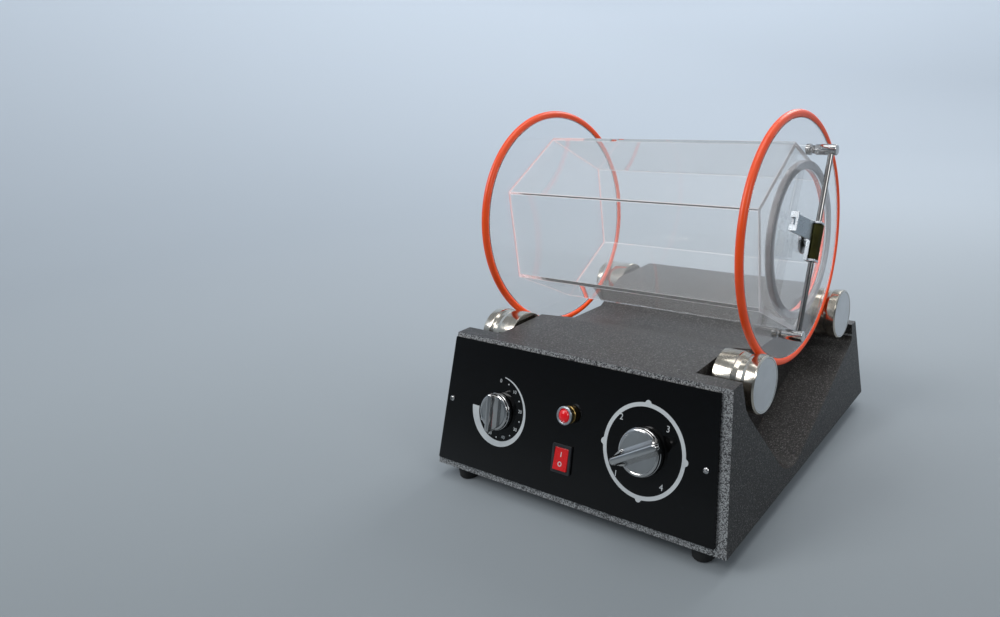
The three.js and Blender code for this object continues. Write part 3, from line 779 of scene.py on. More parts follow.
@dataclass
class Base(SubAssembly):
    """Painted sheet-metal base with feet, bottom plate and rear fittings, in millimetres."""

    front_lean: float = 48 / 151
    painted_glint_facing: float = 0.995
    foot_radius: float = 12.5
    foot_bore: float = 2.7
    seat_radius: float = 5.5
    seat_depth: float = 5.0

    def front(self, across: float, up: float, out: float = 0.0) -> Matrix:
        """Placement on the sloping front.

        Args:
            across: millimetres to the right of its middle.
            up: millimetres up the slope from its bottom edge.
            out: millimetres out of it.

        Returns:
            The placement, with local Z out of the front.
        """
        low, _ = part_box("housing")
        rise = Vector((0, self.front_lean, 1)).normalized()
        origin = Vector((middle("housing").x, low.y, low.z))
        offset = Matrix.Translation((across * MM, up * MM, out * MM))
        return facing(origin, Vector((1, 0, 0)), rise) @ offset

    def build(self) -> None:
        """Makes every piece of the base."""
        self.build_housing()
        self.build_feet()
        self.recast(
            "power_inlet", "inlet_socket", Body.BASE, "dark_plastic", "dark_plastic", 0.5
        )
        self.recast("fuse_holder", "fuse_cap", Body.BASE, "dark_plastic", "dark_plastic", 0.3)
        self.dress("zinc_plate", "motor_bracket")
        self.dress("motor_paint", "motor")
        self.dress("dark_plastic", "timer_body", "speed_switch", "run_capacitor")
        self.dress("black_rubber", "drive_belt")

    def build_housing(self) -> None:
        """Makes the folded housing and its bottom plate; the faces that look out of the front get a
        lighter, more flaked copy of the paint as painted glint.
        """
        finish = ("hammertone_paint", "hammertone")
        housing = self.recast("housing", "painted_housing", Body.BASE, *finish, 0.9)
        out = self.front(0, 0).to_3x3() @ Vector((0, 0, 1))
        # Painted glint: the front faces get the lighter, more flaked copy of the paint.
        self.repaint(
            housing, "hammertone_painted_glint", lambda face: face.normal.dot(out) > self.painted_glint_facing
        )
        self.recast("bottom_plate", "slotted_plate", Body.BASE, *finish, 0.4)

    def build_feet(self) -> None:
        """Makes the rubber feet, each with a seat for its screw's head."""
        wide, bore, seat, deep = (
            self.foot_radius, self.foot_bore, self.seat_radius, self.seat_depth
        )
        for place in ("front_left", "front_right", "rear_left", "rear_right"):
            low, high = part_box(f"foot_{place}")
            at = middle(f"foot_{place}")
            tall = (high.z - low.z) / MM
            profile = in_mm(
                (bore, deep), (seat, deep), (seat, 0), (wide - 2, 0, 0.8),
                (wide - 0.5, 2, 0.8), (wide, tall - 1, 0.6), (wide - 0.6, tall), (bore, tall),
            )
            foot = lathe(f"rubber_foot_{place}", profile, upright(at.x, at.y, low.z), 64, True)
            self.settle(foot, Body.BASE, "black_rubber", "rubber", f"foot_{place}")
            self.dress("turned_steel", f"foot_screw_{place}")


def pan_screw(name: str, place: Matrix, radius: float) -> bpy.types.Object:
    """Makes a pan-head screw with a cross recess.

    Args:
        name: the piece's name.
        place: where the underside of its head sits, local Z outwards.
        radius: radius of the head.

    Returns:
        The screw's head.
    """
    tall = crown = arm = radius * 0.62
    profile = [
        (0, 0), (radius, 0), (radius, tall * 0.35, tall * 0.3), (crown, tall, tall * 0.8),
        (0, tall),
    ]
    head = lathe(name, profile, place, 40)
    recess_floor, recess_top, half_width = tall * 0.45, tall * 1.5, radius * 0.13
    bars = []
    for k, (x, y) in enumerate(((arm, half_width), (half_width, arm))):
        outline = [(-x, -y), (x, -y), (x, y), (-x, y)]
        bars.append(stack(f"bar_{k}", [(outline, recess_floor), (outline, recess_top)], place))
    return carve(head, *bars)


@dataclass(frozen=True)
class Knob:
    """A plated knob with a round skirt and a grip across it, in millimetres and degrees."""

    name: str
    body: Body
    radius: float
    skirt: float
    grip: float
    length: float
    turn: float
    wide: float


@dataclass
class ControlPanel(SubAssembly):
    """Glossy panel with its screws, printed scales, knobs, lamp and rocker switch.

    Sizes are millimetres, and places are measured on the sloping front.
    """

    base: Base
    face: float = 3.0
    ink: float = 0.06
    ink_faces: Spot = (0.2, 1.2)
    screw_radius: float = 3.2
    screws: tuple = (("left", (-176, 81)), ("right", (163, 79)))
    timer_at: Spot = (-103, 80.5)
    timer_ring: float = 40.0
    crescent_start: float = 82.0
    crescent_sweep: float = 262.0
    crescent_thin: float = 1.0
    crescent_growth: float = 9.5
    minute_turn: float = 40.0
    minute_reach: float = 34.5
    minute_creep: float = 1.2
    minute_dot: float = 0.8
    speed_at: Spot = (92, 80.5)
    speed_ring: float = 48.6
    speed_band: float = 4.2
    lug: float = 3.6
    speed_figures: tuple = (
        ("1", -29.7, -29.7), ("2", -29.7, 28.6), ("3", 25.4, 27.6), ("4", 24.8, -30.4)
    )
    grip_sections: tuple = (
        (0, 1.0, 0.94), (0.35, 0.62, 0.985), (0.62, 0.46, 1.0), (0.80, 0.42, 0.965)
    )
    grip_sink: float = 1.6
    grip_round: float = 2.4
    lamp_at: Spot = (-3, 97.5)
    lamp_top: float = 13.0
    lamp_bore: float = 7.1
    rocker_at: Spot = (-7, 49)
    rocker_proud: float = 3.2
    rocker_half: float = 11.9
    rocker_dip: float = 1.2
    mark_share: float = 0.42

    def build(self) -> None:
        """Makes every piece of the panel."""
        self.recast("front_panel", "lacquered_panel", Body.BASE, "panel_lacquer", "panel", 0.5)
        for place, at in self.screws:
            seat = self.base.front(*at, self.face + SEAT_GAP)
            screw = pan_screw(f"panel_fixing_{place}", seat, self.screw_radius * MM)
            self.settle(screw, Body.BASE, "bright_chrome", "chrome", f"panel_screw_{place}")
        self.build_timer_scale()
        self.build_speed_scale()
        self.build_knob(Knob("timer", Body.TIMER, 21, 12, 21, 44, 0, 14), self.timer_at)
        self.build_knob(Knob("speed", Body.SPEED, 24.5, 13, 24, 60, 118, 18), self.speed_at)
        self.build_lamp()
        self.build_rocker()

    def print_shape(self, name: str, inner: list[Spot], outer: list[Spot], at: Spot) -> None:
        """Prints a band between two lines of equal point counts.

        Args:
            name: the mark's name.
            inner: points of one side.
            outer: points of the other side.
            at: the scale's centre on the panel.
        """
        place = self.base.front(*at, self.face)
        count = len(inner)
        corners = [
            place @ (Vector((x, y, share * self.ink)) * MM)
            for share in self.ink_faces
            for x, y in (*inner, *outer)
        ]
        faces = []
        for k in range(count - 1):
            faces.append((2 * count + k, 2 * count + k + 1, 3 * count + k + 1, 3 * count + k))
            faces.append((k, count + k, count + k + 1, k + 1))
            faces.append((k, k + 1, 2 * count + k + 1, 2 * count + k))
            faces.append((count + k + 1, count + k, 3 * count + k, 3 * count + k + 1))
        closed = (Vector(inner[0]) - Vector(inner[-1])).length * MM < PRINT_WELD
        if not closed:
            faces.append((0, 2 * count, 3 * count, count))
            faces.append((count - 1, 2 * count - 1, 4 * count - 1, 3 * count - 1))
        mark = make_object(name, corners, faces, False)
        if closed:
            work = bmesh.new()
            work.from_mesh(mark.data)
            bmesh.ops.remove_doubles(work, verts=work.verts, dist=PRINT_WELD)
            work.to_mesh(mark.data)
            work.free()
        self.settle(mark, Body.BASE, "panel_ink", "panel")

    def print_figure(self, name: str, text: str, at: Spot, size: float) -> None:
        """Prints a short figure.

        Args:
            name: the mark's name.
            text: the figure.
            at: its centre on the panel.
            size: its height.
        """
        curve = bpy.data.curves.new(name, "FONT")
        curve.body = text
        curve.size = size * MM
        curve.align_x = "CENTER"
        curve.align_y = "CENTER"
        curve.extrude = 0.5 * self.ink * MM
        holder = bpy.data.objects.new(name, curve)
        bpy.context.scene.collection.objects.link(holder)
        mesh = evaluated_mesh(holder)
        bpy.data.objects.remove(holder)
        mesh.transform(self.base.front(*at, self.face + 0.7 * self.ink))
        mark = bpy.data.objects.new(name, mesh)
        bpy.context.scene.collection.objects.link(mark)
        self.settle(mark, Body.BASE, "panel_ink", "panel")

    def print_dot(self, name: str, at: Spot, radius: float) -> None:
        """Prints a round dot.

        Args:
            name: the mark's name.
            at: its centre on the panel.
            radius: its radius.
        """
        low, high = (share * self.ink for share in self.ink_faces)
        profile = in_mm((0, low), (radius, low), (radius, high), (0, high))
        dot = lathe(name, profile, self.base.front(*at, self.face), 24)
        self.settle(dot, Body.BASE, "panel_ink", "panel")

    def timer_spot(self, reach: float, degrees: float) -> Spot:
        """Point of the panel at a distance and an angle from the timer's centre."""
        x, y = polar(reach, degrees)
        return self.timer_at[0] + x, self.timer_at[1] + y

    def build_timer_scale(self) -> None:
        """Prints the timer's crescent, its minute figures and dots."""
        inner, outer = [], []
        steps = 90
        for k in range(steps + 1):
            share = k / steps
            degrees = self.crescent_start - self.crescent_sweep * share
            thick = self.crescent_thin + self.crescent_growth * share**1.2
            inner.append(polar(self.timer_ring - thick, degrees))
            outer.append(polar(self.timer_ring, degrees))
        self.print_shape("timer_crescent", inner, outer, self.timer_at)
        last = 6
        for k in range(last + 1):
            degrees = 90 - self.minute_turn * k
            reach = self.minute_reach - self.minute_creep * k
            size = 5.2 if k else 5.6
            at = self.timer_spot(reach, degrees)
            self.print_figure(f"minute_{10 * k}", str(10 * k), at, size)
            if k < last:
                at = self.timer_spot(reach, degrees - self.minute_turn / 2)
                self.print_dot(f"minute_dot_{10 * k + 5}", at, self.minute_dot)

    def build_speed_scale(self) -> None:
        """Prints the speed ring with a lug at each quarter, and its figures."""
        inner, outer = [], []
        lug_centre = self.speed_ring - 0.2 * self.lug
        for degrees in range(361):
            off = math.radians((degrees + 45) % 90 - 45)
            radius = self.speed_ring
            side = lug_centre * math.sin(off)
            if abs(side) < self.lug:
                bulge = lug_centre * math.cos(off) + math.sqrt(self.lug**2 - side**2)
                radius = max(radius, bulge)
            inner.append(polar(self.speed_ring - self.speed_band, degrees))
            outer.append(polar(radius, degrees))
        self.print_shape("speed_ring", inner, outer, self.speed_at)
        for text, x, y in self.speed_figures:
            at = (self.speed_at[0] + x, self.speed_at[1] + y)
            self.print_figure(f"speed_{text}", text, at, 9)

    def build_knob(self, knob: Knob, at: Spot) -> None:
        """Makes a knob's skirt and its grip, which narrows upwards and has a rounded top.

        Args:
            knob: its sizes.
            at: its centre on the panel.
        """
        place = self.base.front(*at)
        wide, top, under = knob.radius, knob.skirt, self.face + 0.8
        profile = in_mm(
            (0, under + 0.6), (wide - 1.5, under + 0.6), (wide - 0.8, under),
            (wide, under + 0.4, 0.3), (wide, top - 4, 0.6), (wide - 0.6, top - 3.4, 0.3),
            (wide - 0.9, top - 0.8, 1.1), (wide - 3.2, top, 0.8), (wide - 4.2, top - 0.7, 0.5),
            (0, top - 0.5),
        )
        dial = lathe(f"{knob.name}_skirt", profile, place, 120)
        self.settle(dial, knob.body, "bright_chrome", "chrome", f"{knob.name}_knob")
        foot = top - self.grip_sink
        tall = knob.grip - foot
        sections = [
            (foot + tall * share, knob.length * short, knob.wide * narrow)
            for share, narrow, short in self.grip_sections
        ]
        level, length, width = sections[-1]
        rounding = 5
        for k in range(1, rounding + 1):
            angle = math.pi / 2 * k / rounding
            less = self.grip_round * (1 - math.cos(angle))
            level = knob.grip - 0.20 * tall * (1 - math.sin(angle))
            sections.append((level, length - 2 * less, width - 1.8 * less))
        layers = [
            (rounded_box(long * MM, thick * MM, 0.48 * thick * MM, 10), height * MM)
            for height, long, thick in sections
        ]
        spun = place @ Matrix.Rotation(math.radians(90 + knob.turn), 4, "Z")
        grip = stack(f"{knob.name}_grip", layers, spun)
        self.settle(grip, knob.body, "bright_chrome", "chrome")

    def build_lamp(self) -> None:
        """Makes the lamp's holder, bezel ring and red lens."""
        place = self.base.front(*self.lamp_at)
        low, top, bore = self.face + SEAT_GAP, self.lamp_top, self.lamp_bore
        barrel = in_mm(
            (bore, -18), (8.8, -18), (8.8, low), (9.4, low, 0.2), (9.4, low + 1.4, 0.4),
            (8.9, low + 2, 0.3), (8.9, top - 3.6), (bore, top - 3.6),
        )
        holder = lathe("lamp_barrel", barrel, place, 72, True)
        self.settle(holder, Body.BASE, "machined_brass", "zinc", "lamp_bezel")
        bezel = in_mm(
            (bore, top - 3.5), (9.6, top - 3.5, 0.3), (10, top - 2.6, 0.4),
            (10, top - 0.9, 0.7), (9, top, 0.5), (7.9, top, 0.3), (bore, top - 0.8),
        )
        self.settle(lathe("lamp_ring", bezel, place, 72, True), Body.BASE, "zinc_plate", "zinc")
        lens = in_mm(
            (0, -14), (6.8, -14), (6.8, top - 1.2, 0.4), (6.2, top - 0.4, 0.3),
            (5.4, top + 0.8, 1.5), (2.6, top + 1.8, 2.0), (0, top + 2),
        )
        dome = lathe("lamp_dome", lens, place, 72)
        self.settle(dome, Body.BASE, "red_lens", "red_lens", "lamp_lens")

    def build_rocker(self) -> None:
        """Makes the rocker switch's frame and its rocker with the two marks."""
        self.recast(
            "rocker_frame", "switch_frame", Body.BASE, "dark_plastic", "dark_plastic", 0.5
        )
        self.recast(
            "rocker_button", "switch_rocker", Body.ROCKER, "red_plastic", "red_plastic", 0.5, 3
        )
        level = self.face + SEAT_GAP + self.rocker_proud - 0.6
        tilt = Matrix.Rotation(-math.atan2(self.rocker_dip, self.rocker_half), 4, "X")
        for name, share in (("on_mark", self.mark_share), ("off_mark", -self.mark_share)):
            out = level - self.rocker_dip * share + 0.02
            up = self.rocker_at[1] + share * self.rocker_half
            place = self.base.front(self.rocker_at[0], up, out) @ tilt
            if name == "on_mark":
                outline = in_mm((-0.5, -2.6), (0.5, -2.6), (0.5, 2.6), (-0.5, 2.6))
                mark = stack(name, [(outline, 0), (outline, self.ink * MM)], place)
            else:
                ring = in_mm((1.7, 0), (2.6, 0), (2.6, self.ink), (1.7, self.ink))
                mark = lathe(name, ring, place, 40, True)
            self.settle(mark, Body.ROCKER, "panel_ink", "red_plastic")


@dataclass
class RollerSet(SubAssembly):
    """Shafts, grooved rollers and bearings, front and rear, in millimetres."""

    radius: float = 30.5
    floor: float = 28.4
    chamfer: float = 1.6
    length: float = 47.4
    groove_in: float = 20.8
    groove_out: float = 36.3
    bore: float = 6.1
    bore_end: float = 6.3
    bush_bore: float = 6.3
    bush_radius: float = 12.0
    flange_radius: float = 19.0
    end_facing: float = 0.999

    def build(self) -> None:
        """Makes both sets."""
        for place, body in (("front", Body.FRONT_ROLLERS), ("rear", Body.REAR_ROLLERS)):
            self.dress("turned_steel", f"shaft_{place}")
            for side, sign in (("left", -1), ("right", 1)):
                self.build_roller(f"roller_{place}_{side}", sign, body)
                self.build_bearing(f"{place}_{side}", sign)
        self.dress("dark_plastic", "drive_pulley")
        self.dress("machined_brass", "motor_pulley")
        self.dress("turned_steel", "motor_shaft")

    def seat(self, node: str, sign: int) -> Matrix:
        """Placement at the inner end of a node, with local Z outwards.

        Args:
            node: the CAD node.
            sign: 1 on the right and -1 on the left.

        Returns:
            The placement.
        """
        low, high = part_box(node)
        at = middle(node)
        start = low.x if sign > 0 else high.x
        return along_x(start, at.y, at.z) @ Matrix.Diagonal((1, 1, sign, 1))

    def build_roller(self, node: str, sign: int, body: Body) -> None:
        """Makes one roller: a plated ring with a belt groove, and its end cap.

        Args:
            node: the CAD node.
            sign: 1 on the right and -1 on the left.
            body: the body that turns.
        """
        wide, end, start, stop = self.radius, self.length, self.groove_in, self.groove_out
        profile = in_mm(
            (0, end - 0.35), (wide - 3.4, end - 0.35, 0.1), (wide - 3.0, end, 0.15),
            (wide - self.chamfer, end, 0.2), (wide, end - self.chamfer, 0.4),
            (wide, stop, 0.3), (wide - 0.9, stop - 0.6, 0.3), (self.floor, stop - 4.3, 1.5),
            (self.floor, start + 5.5, 1.5), (wide - 0.9, start + 0.6, 0.3),
            (wide, start, 0.3), (wide, 0.8, 0.3), (wide - 0.8, 0, 0.2),
            (self.bore + 3, 0), (self.bore, 0), (self.bore, end - self.bore_end),
            (0, end - self.bore_end),
        )
        roller = lathe(f"plated_{node}", profile, self.seat(node, sign), 128)
        self.settle(roller, body, "polished_nickel", "chrome", node)
        self.repaint(
            roller, "roller_face", lambda face: face.normal.x * sign > self.end_facing
        )

    def build_bearing(self, place: str, sign: int) -> None:
        """Makes one flanged bearing with a grooved flange.

        Args:
            place: front or rear and left or right, as in front_left.
            sign: 1 on the right and -1 on the left.
        """
        node = f"bearing_{place}"
        bore, wide, flange = self.bush_bore, self.bush_radius, self.flange_radius
        profile = in_mm(
            (bore, 0), (wide, 0, 0.5), (wide, 14), (flange, 14, 0.3), (flange, 16, 0.8),
            (14, 17, 0.8), (wide, 16.4, 0.4), (9, 17, 0.4), (bore, 17, 0.3),
        )
        bush = lathe(f"bush_{place}", profile, self.seat(node, sign), 72, True)
        self.settle(bush, Body.BASE, "dark_plastic", "dark_plastic", node)


@dataclass
class Drum(SubAssembly):
    """Clear hexagonal barrel, its discs, their belts and the clamp's collars, in millimetres."""

    opening: float = 77.0
    belt_section: float = 4.2
    belt_seat: float = 4.5
    barrel_radius: float = 104.7
    wall: float = 5.0
    drill_radius: float = 3.1
    drill_reach: float = 8.0
    seam_inset: float = 0.2
    seam_offset: float = 0.15
    seam_half: float = 0.1
    side_facing: float = 0.9995

    def build(self) -> None:
        """Makes every piece of the drum."""
        self.build_barrel()
        for side in ("left", "right"):
            self.build_disc(side)
            self.build_belt(side)
        self.build_seams()
        for place in ("upper", "lower"):
            self.recast(
                f"post_collar_{place}", f"post_socket_{place}", Body.DRUM, "dark_chrome",
                "steel", 0.3,
            )

    def build_barrel(self) -> None:
        """Makes the barrel with lightly broken edges; the edge and end faces get a pale, glowing
        finish as painted highlight.
        """
        barrel = self.recast(
            "barrel", "clear_barrel", Body.DRUM, "clear_acrylic", "acrylic", 0.35
        )
        big = sorted(barrel.data.polygons, key=lambda face: -face.area)[:6]
        sides = [face.normal.copy() for face in big]
        # Painted highlight: every face but the six sides gets the pale glowing finish.
        self.repaint(
            barrel, "edge_painted_highlight",
            lambda face: not any(abs(face.normal.dot(out)) > self.side_facing for out in sides),
        )
        barrel.visible_shadow = False

    def belt_radius(self, side: str) -> float:
        """Radius of the line through the middle of a belt's section."""
        low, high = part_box(f"rim_belt_{side}")
        return (high.z - low.z) / (2 * MM) - self.belt_section

    def build_disc(self, side: str) -> None:
        """Makes one disc, grooved for its belt; the right one has the door opening.

        Args:
            side: left or right.
        """
        node = f"disc_{side}"
        low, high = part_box(node)
        at = middle(node)
        half = (high.x - low.x) / (2 * MM)
        edge = math.asin((half - 0.4) / self.belt_seat)
        rim = []
        steps = 8
        for k in range(steps + 1):
            x, y = polar(self.belt_seat, 180 + math.degrees(edge - 2 * edge * k / steps))
            rim.append((self.belt_radius(side) + x, y))
        lip = rim[0][0] - 0.4
        profile = [(lip, -half), *rim, (lip, half)]
        is_open = side == "right"
        if is_open:
            inner, bevel = self.opening, 0.5
            profile = [
                (inner + bevel, -half), *profile, (inner + bevel, half),
                (inner, half - bevel), (inner, bevel - half),
            ]
        else:
            profile = [(0, -half), *profile, (0, half)]
        disc = lathe(f"clear_{node}", in_mm(*profile), along_x(at.x, at.y, at.z), 160, is_open)
        if is_open:
            cutters = []
            wide, reach = self.drill_radius, self.drill_reach
            outline = in_mm((0, -reach), (wide, -reach), (wide, reach), (0, reach))
            for place in ("upper", "lower"):
                spot = middle(f"post_collar_{place}")
                hole = along_x(at.x, spot.y, spot.z)
                cutters.append(lathe(f"drill_{place}", outline, hole, 32))
            disc = carve(disc, *cutters)
        self.settle(disc, Body.DRUM, "clear_acrylic", "acrylic", node)
        disc.visible_shadow = False

    def build_belt(self, side: str) -> None:
        """Makes the round belt on a disc's rim.

        Args:
            side: left or right.
        """
        node = f"rim_belt_{side}"
        at = middle(node)
        steps = 24
        section = [polar(self.belt_section, 360 * k / steps) for k in range(steps)]
        profile = in_mm(*((self.belt_radius(side) + x, y) for x, y in section))
        belt = lathe(f"round_belt_{side}", profile, along_x(at.x, at.y, at.z), 192, True)
        self.settle(belt, Body.DRUM, "orange_belt", "belt", node)

    def build_seams(self) -> None:
        """Makes thin bands at the glued joints where the barrel meets the discs: red on the left as
        painted reflection of the belt, grey on the right as painted shade of the thick edge.
        """
        low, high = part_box("barrel")
        at = middle("barrel")
        inside = self.barrel_radius - self.wall / math.cos(math.pi / 6)
        radii = (self.barrel_radius - self.seam_inset, inside + self.seam_inset)
        ring = [polar(radius, -30 + 60 * k) for radius in radii for k in range(6)]
        # Painted light: red reflection of the belt on the left, grey edge shade on the right.
        seams = (("left", low.x, -1, "red_painted_reflection"), ("right", high.x, 1, "grey_painted_edge_shade"))
        for side, x, sign, paint in seams:
            place = along_x(x + sign * self.seam_offset * MM, at.y, at.z)
            corners = [
                place @ (Vector((across, up, level)) * MM)
                for level in (-self.seam_half, self.seam_half)
                for across, up in ring
            ]
            faces = []
            for k in range(6):
                n = (k + 1) % 6
                faces.append((k, n, 6 + n, 6 + k))
                faces.append((12 + k, 18 + k, 18 + n, 12 + n))
                faces.append((k, 12 + k, 12 + n, n))
                faces.append((6 + k, 6 + n, 18 + n, 18 + k))
            seam = make_object(f"joint_painted_light_{side}", corners, faces, False)
            self.settle(seam, Body.DRUM, paint, "acrylic")
            seam.visible_shadow = False


@dataclass
class Door(SubAssembly):
    """Lid, its gasket and pad, and the clamp frame with its lever, in millimetres."""

    lid_radius: float = 85.0
    lid_rim: float = 76.0
    pane_inset: float = 2.0
    seal_inner: float = 79.0
    seal_outer: float = 84.0
    pad_radius: float = 14.0
    stem_radius: float = 6.0
    post_radius: float = 5.8
    neck_radius: float = 4.6
    stub_radius: float = 2.8
    stub_length: float = 13.1
    rod_radius: float = 3.1
    sleeve_radius: float = 7.0
    sleeve_half: float = 19.0

    def build(self) -> None:
        """Makes every piece of the door."""
        self.build_lid()
        self.build_gasket()
        self.build_pad()
        self.build_clamp()
        self.build_lever()

    def build_lid(self) -> None:
        """Makes the lid with its thick rim, whose sides and front are painted grey as painted shade
        of the thick clear edge.
        """
        low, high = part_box("lid")
        at = middle("lid")
        wide, rim, deep = self.lid_radius, self.lid_rim, (high.x - low.x) / MM
        pane = deep - self.pane_inset
        profile = in_mm(
            (0, 0), (wide, 0, 0.4), (wide, deep - 1, 0.8), (wide - 1, deep, 0.4),
            (rim + 1, deep, 0.8), (rim, pane, 0.4), (0, pane),
        )
        lid = lathe("clear_lid", profile, along_x(low.x, at.y, at.z), 128)
        self.settle(lid, Body.DOOR, "lid_acrylic", "acrylic", "lid")
        axis = Vector((at.y, at.z))
        inside = (rim - 0.6) * MM

        def on_rim(face: bpy.types.MeshPolygon) -> bool:
            """Says whether a face belongs to the rim's sides or front."""
            return (Vector(face.center[1:]) - axis).length > inside and face.normal.x > -0.9

        # Painted shade: the rim's sides and front get the grey finish.
        self.repaint(lid, "grey_painted_edge_shade", on_rim)
        lid.visible_shadow = False

    def build_gasket(self) -> None:
        """Makes the sealing ring behind the lid."""
        low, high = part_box("lid_gasket")
        at = middle("lid")
        inner, outer, thick = self.seal_inner, self.seal_outer, (high.x - low.x) / MM
        profile = in_mm(
            (inner, 0.2, 0.3), (inner + 0.6, 0, 0.2), (outer - 0.6, 0, 0.2), (outer, 0.3, 0.2),
            (outer, thick - 0.2, 0.2), (inner, thick - 0.2, 0.2),
        )
        gasket = lathe("sealing_ring", profile, along_x(low.x, at.y, at.z), 128, True)
        self.settle(gasket, Body.DOOR, "milky_silicone", "silicone", "lid_gasket")
        gasket.visible_shadow = False

    def build_pad(self) -> None:
        """Makes the pad that presses on the lid."""
        low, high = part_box("pressure_pad")
        at = middle("lid")
        wide, stem, tall = self.pad_radius, self.stem_radius, (high.x - low.x) / MM
        profile = in_mm(
            (0, 0), (wide - 0.6, 0, 0.4), (wide, 1.2, 0.8), (wide - 0.6, 3, 0.6),
            (stem + 0.6, 4.2, 1.2), (stem, 6, 0.5), (stem, tall, 0.4), (0, tall),
        )
        pad = lathe("lid_pad", profile, along_x(low.x, at.y, at.z), 72)
        self.settle(pad, Body.DOOR, "turned_steel", "steel", "pressure_pad")

    def bar(self) -> Matrix:
        """Placement along the clamp bar.

        Returns:
            The placement, with local Z towards the upper post and local X outwards.
        """
        upper, lower = middle("post_upper"), middle("post_lower")
        along = Vector((0, upper.y - lower.y, upper.z - lower.z)).normalized()
        out = Vector((1, 0, 0))
        across = along.cross(out)
        at = middle("clamp_bar")
        rows = [(out[i], across[i], along[i], at[i]) for i in range(3)]
        return Matrix((*rows, (0, 0, 0, 1)))

    def build_clamp(self) -> None:
        """Makes the two posts and the bar between them."""
        wide, neck, stub, head = (
            self.post_radius, self.neck_radius, self.stub_radius, self.stub_length
        )
        for place in ("upper", "lower"):
            low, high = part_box(f"post_{place}")
            at = middle(f"post_{place}")
            long = (high.x - low.x) / MM
            profile = in_mm(
                (0, 0), (stub, 0, 0.5), (stub, head - 0.1), (neck, head, 0.3),
                (neck, head + 2.2, 0.4), (wide, head + 3.4, 0.6), (wide, long - 0.7, 0.5),
                (wide - 0.7, long, 0.4), (0, long),
            )
            post = lathe(f"chrome_post_{place}", profile, along_x(low.x, at.y, at.z), 64)
            self.settle(post, Body.DOOR, "bright_chrome", "chrome", f"post_{place}")
            # Painted shade: the inner end of each post, by its socket, gets the darker chrome.
            painted_shade_end = low.x + (head + 3) * MM
            self.repaint(post, "dark_chrome", lambda face: face.center.x < painted_shade_end)
        span = (middle("post_upper") - middle("post_lower")).length / MM
        reach, thick = span / 2 - 3, self.rod_radius
        profile = in_mm((0, -reach), (thick, -reach), (thick, reach), (0, reach))
        rod = lathe("clamp_rod", profile, self.bar(), 48)
        self.settle(rod, Body.DOOR, "dark_chrome", "chrome", "clamp_bar")

    def build_lever(self) -> None:
        """Makes the bronze sleeve and the pressed lever on the bar."""
        half, wide, bore = self.sleeve_half, self.sleeve_radius, self.rod_radius + 0.3
        profile = in_mm(
            (bore, -half), (wide - 0.6, -half, 0.2), (wide, 0.7 - half, 0.3),
            (wide, half - 0.7, 0.3), (wide - 0.6, half, 0.2), (bore, half),
        )
        sleeve = lathe("bronze_sleeve", profile, self.bar(), 8, True)
        self.settle(sleeve, Body.LEVER, "oiled_bronze", "bronze", "lever_sleeve")
        self.recast("lever_plate", "pressed_lever", Body.LEVER, "zinc_plate", "zinc", 0.45, 3)


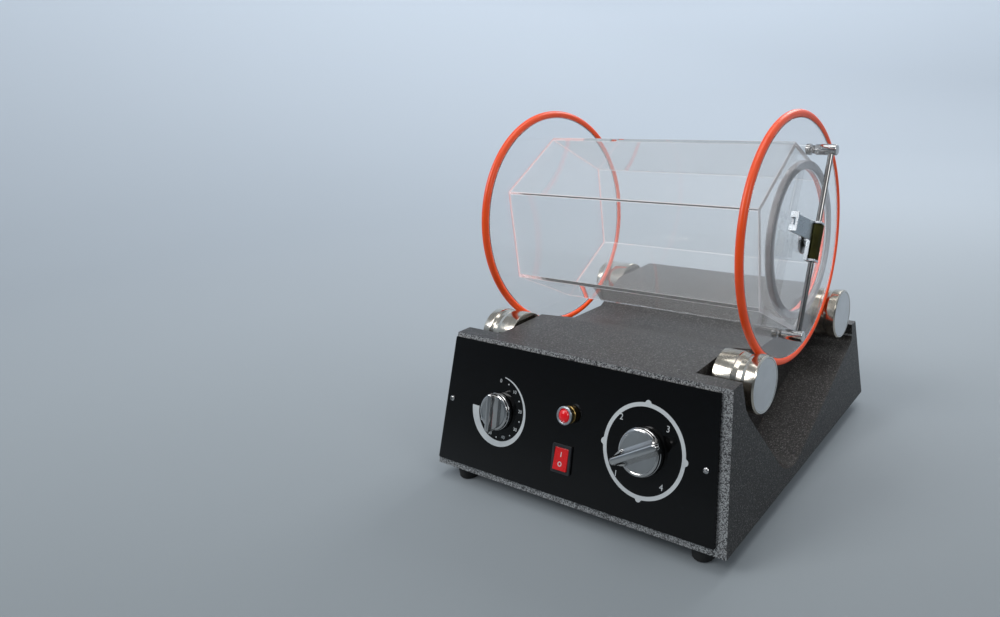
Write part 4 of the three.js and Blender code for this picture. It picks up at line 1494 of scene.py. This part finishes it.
@dataclass
class Studio:
    """Pale floor, soft lights and the camera, in metres and degrees."""

    floor_radius: float = 3.2
    floor_bend: float = 1.6
    wall: float = 3.0
    near: Colour = (0.23, 0.255, 0.27)
    far: Colour = (0.66, 0.73, 0.81)
    backdrop_painted_glow: float = 0.42
    surround: Colour = (0.78, 0.84, 0.90)
    surround_strength: float = 0.4
    lights: tuple = (
        ("key", (-1.15, -1.35, 1.75), 1.1, 22),
        ("side", (1.9, -0.5, 1.25), 0.7, 7),
        ("rear", (0.1, 1.75, 1.55), 1.0, 15),
        ("top", (0.1, 0.1, 2.2), 1.4, 15),
    )
    light_aim: Colour = (0, 0, 0.2)
    camera_at: Colour = (0.45825, -0.6851, 0.4586)
    azimuth: float = 32.635
    elevation: float = 19.621
    roll: float = -3.074
    lens: float = 26.05
    shift: Spot = (-0.1716, 0.006)

    def build(self) -> None:
        """Makes the floor, the surround, the lights and the camera."""
        self.build_floor()
        self.build_world()
        for name, at, size, power in self.lights:
            self.light(name, at, size, power)
        self.build_camera()

    def build_floor(self) -> None:
        """Makes the floor, which bends up into a wall; it is painted darker near and paler far, and
        its far part glows, as painted light.
        """
        profile = [
            (0, 0), (self.floor_radius, 0, self.floor_bend), (self.floor_radius + 0.4, self.wall)
        ]
        floor = lathe("floor", profile, upright(0, 0, 0), 96)
        work = bmesh.new()
        work.from_mesh(floor.data)
        if max(work.faces, key=lambda face: face.calc_area()).normal.z < 0:
            bmesh.ops.reverse_faces(work, faces=work.faces)
        work.to_mesh(floor.data)
        work.free()
        shader = Shader("studio_floor")
        parts = shader.node("ShaderNodeSeparateXYZ", {}, {0: shader.place()})
        back = Value(shader, parts.outputs["Y"]) - Value(shader, parts.outputs["X"]) * 0.55
        height = Value(shader, parts.outputs["Z"])
        depth = shader.between(back + height * 1.6 + shader.noise(1.2, 2) * 0.1, -0.4, 4.6)
        shader.look(
            Base_Color=shader.mix(depth, self.near, self.far),
            Roughness=0.7,
            Specular_IOR_Level=0.2,
            # Painted light: the far part glows in its own pale colour.
            Emission_Color=shader.mix(depth, (0.0, 0.0, 0.0), self.far),
            Emission_Strength=self.backdrop_painted_glow,
        )
        floor.data.materials.append(shader.material)

    def build_world(self) -> None:
        """Makes a pale even surround."""
        world = bpy.data.worlds.new("studio")
        world.use_nodes = True
        background = world.node_tree.nodes["Background"]
        background.inputs["Color"].default_value = (*self.surround, 1)
        background.inputs["Strength"].default_value = self.surround_strength
        bpy.context.scene.world = world
        bpy.context.scene.view_settings.view_transform = "Standard"

    def light(self, name: str, at: Colour, size: float, power: float) -> None:
        """Makes a square soft light that looks at the machine's middle.

        Args:
            name: the light's name.
            at: its place.
            size: length of its side.
            power: its power in watts.
        """
        data = bpy.data.lights.new(name, "AREA")
        data.energy = power
        data.size = size
        lamp = bpy.data.objects.new(name, data)
        bpy.context.scene.collection.objects.link(lamp)
        lamp.visible_camera = False
        lamp.visible_transmission = False
        lamp.location = at
        towards = Vector(self.light_aim) - Vector(at)
        lamp.rotation_euler = towards.to_track_quat("-Z", "Y").to_euler()

    def build_camera(self) -> None:
        """Makes the camera at its place, turn and framing."""
        azimuth, elevation, roll = (
            math.radians(angle) for angle in (self.azimuth, self.elevation, self.roll)
        )
        level = math.cos(elevation)
        back = Vector(
            (math.sin(azimuth) * level, -math.cos(azimuth) * level, math.sin(elevation))
        )
        right = (-back).cross(Vector((0, 0, 1))).normalized()
        up = right.cross(-back)
        turned = (
            math.cos(roll) * right + math.sin(roll) * up,
            -math.sin(roll) * right + math.cos(roll) * up,
            back,
        )
        data = bpy.data.cameras.new("camera")
        data.lens = self.lens
        data.sensor_width = 36
        data.shift_x, data.shift_y = self.shift
        camera = bpy.data.objects.new("camera", data)
        bpy.context.scene.collection.objects.link(camera)
        rows = [(*(axis[i] for axis in turned), self.camera_at[i]) for i in range(3)]
        camera.matrix_world = Matrix((*rows, (0, 0, 0, 1)))
        bpy.context.scene.camera = camera


def main() -> None:
    """Builds the sub-assemblies in order."""
    logging.basicConfig(level=logging.INFO, format="%(message)s")
    paints = Paintbox()
    base = Base(paints)
    base.build()
    ControlPanel(paints, base).build()
    RollerSet(paints).build()
    Drum(paints).build()
    Door(paints).build()
    Studio().build()


if __name__ == "__main__":
    main()
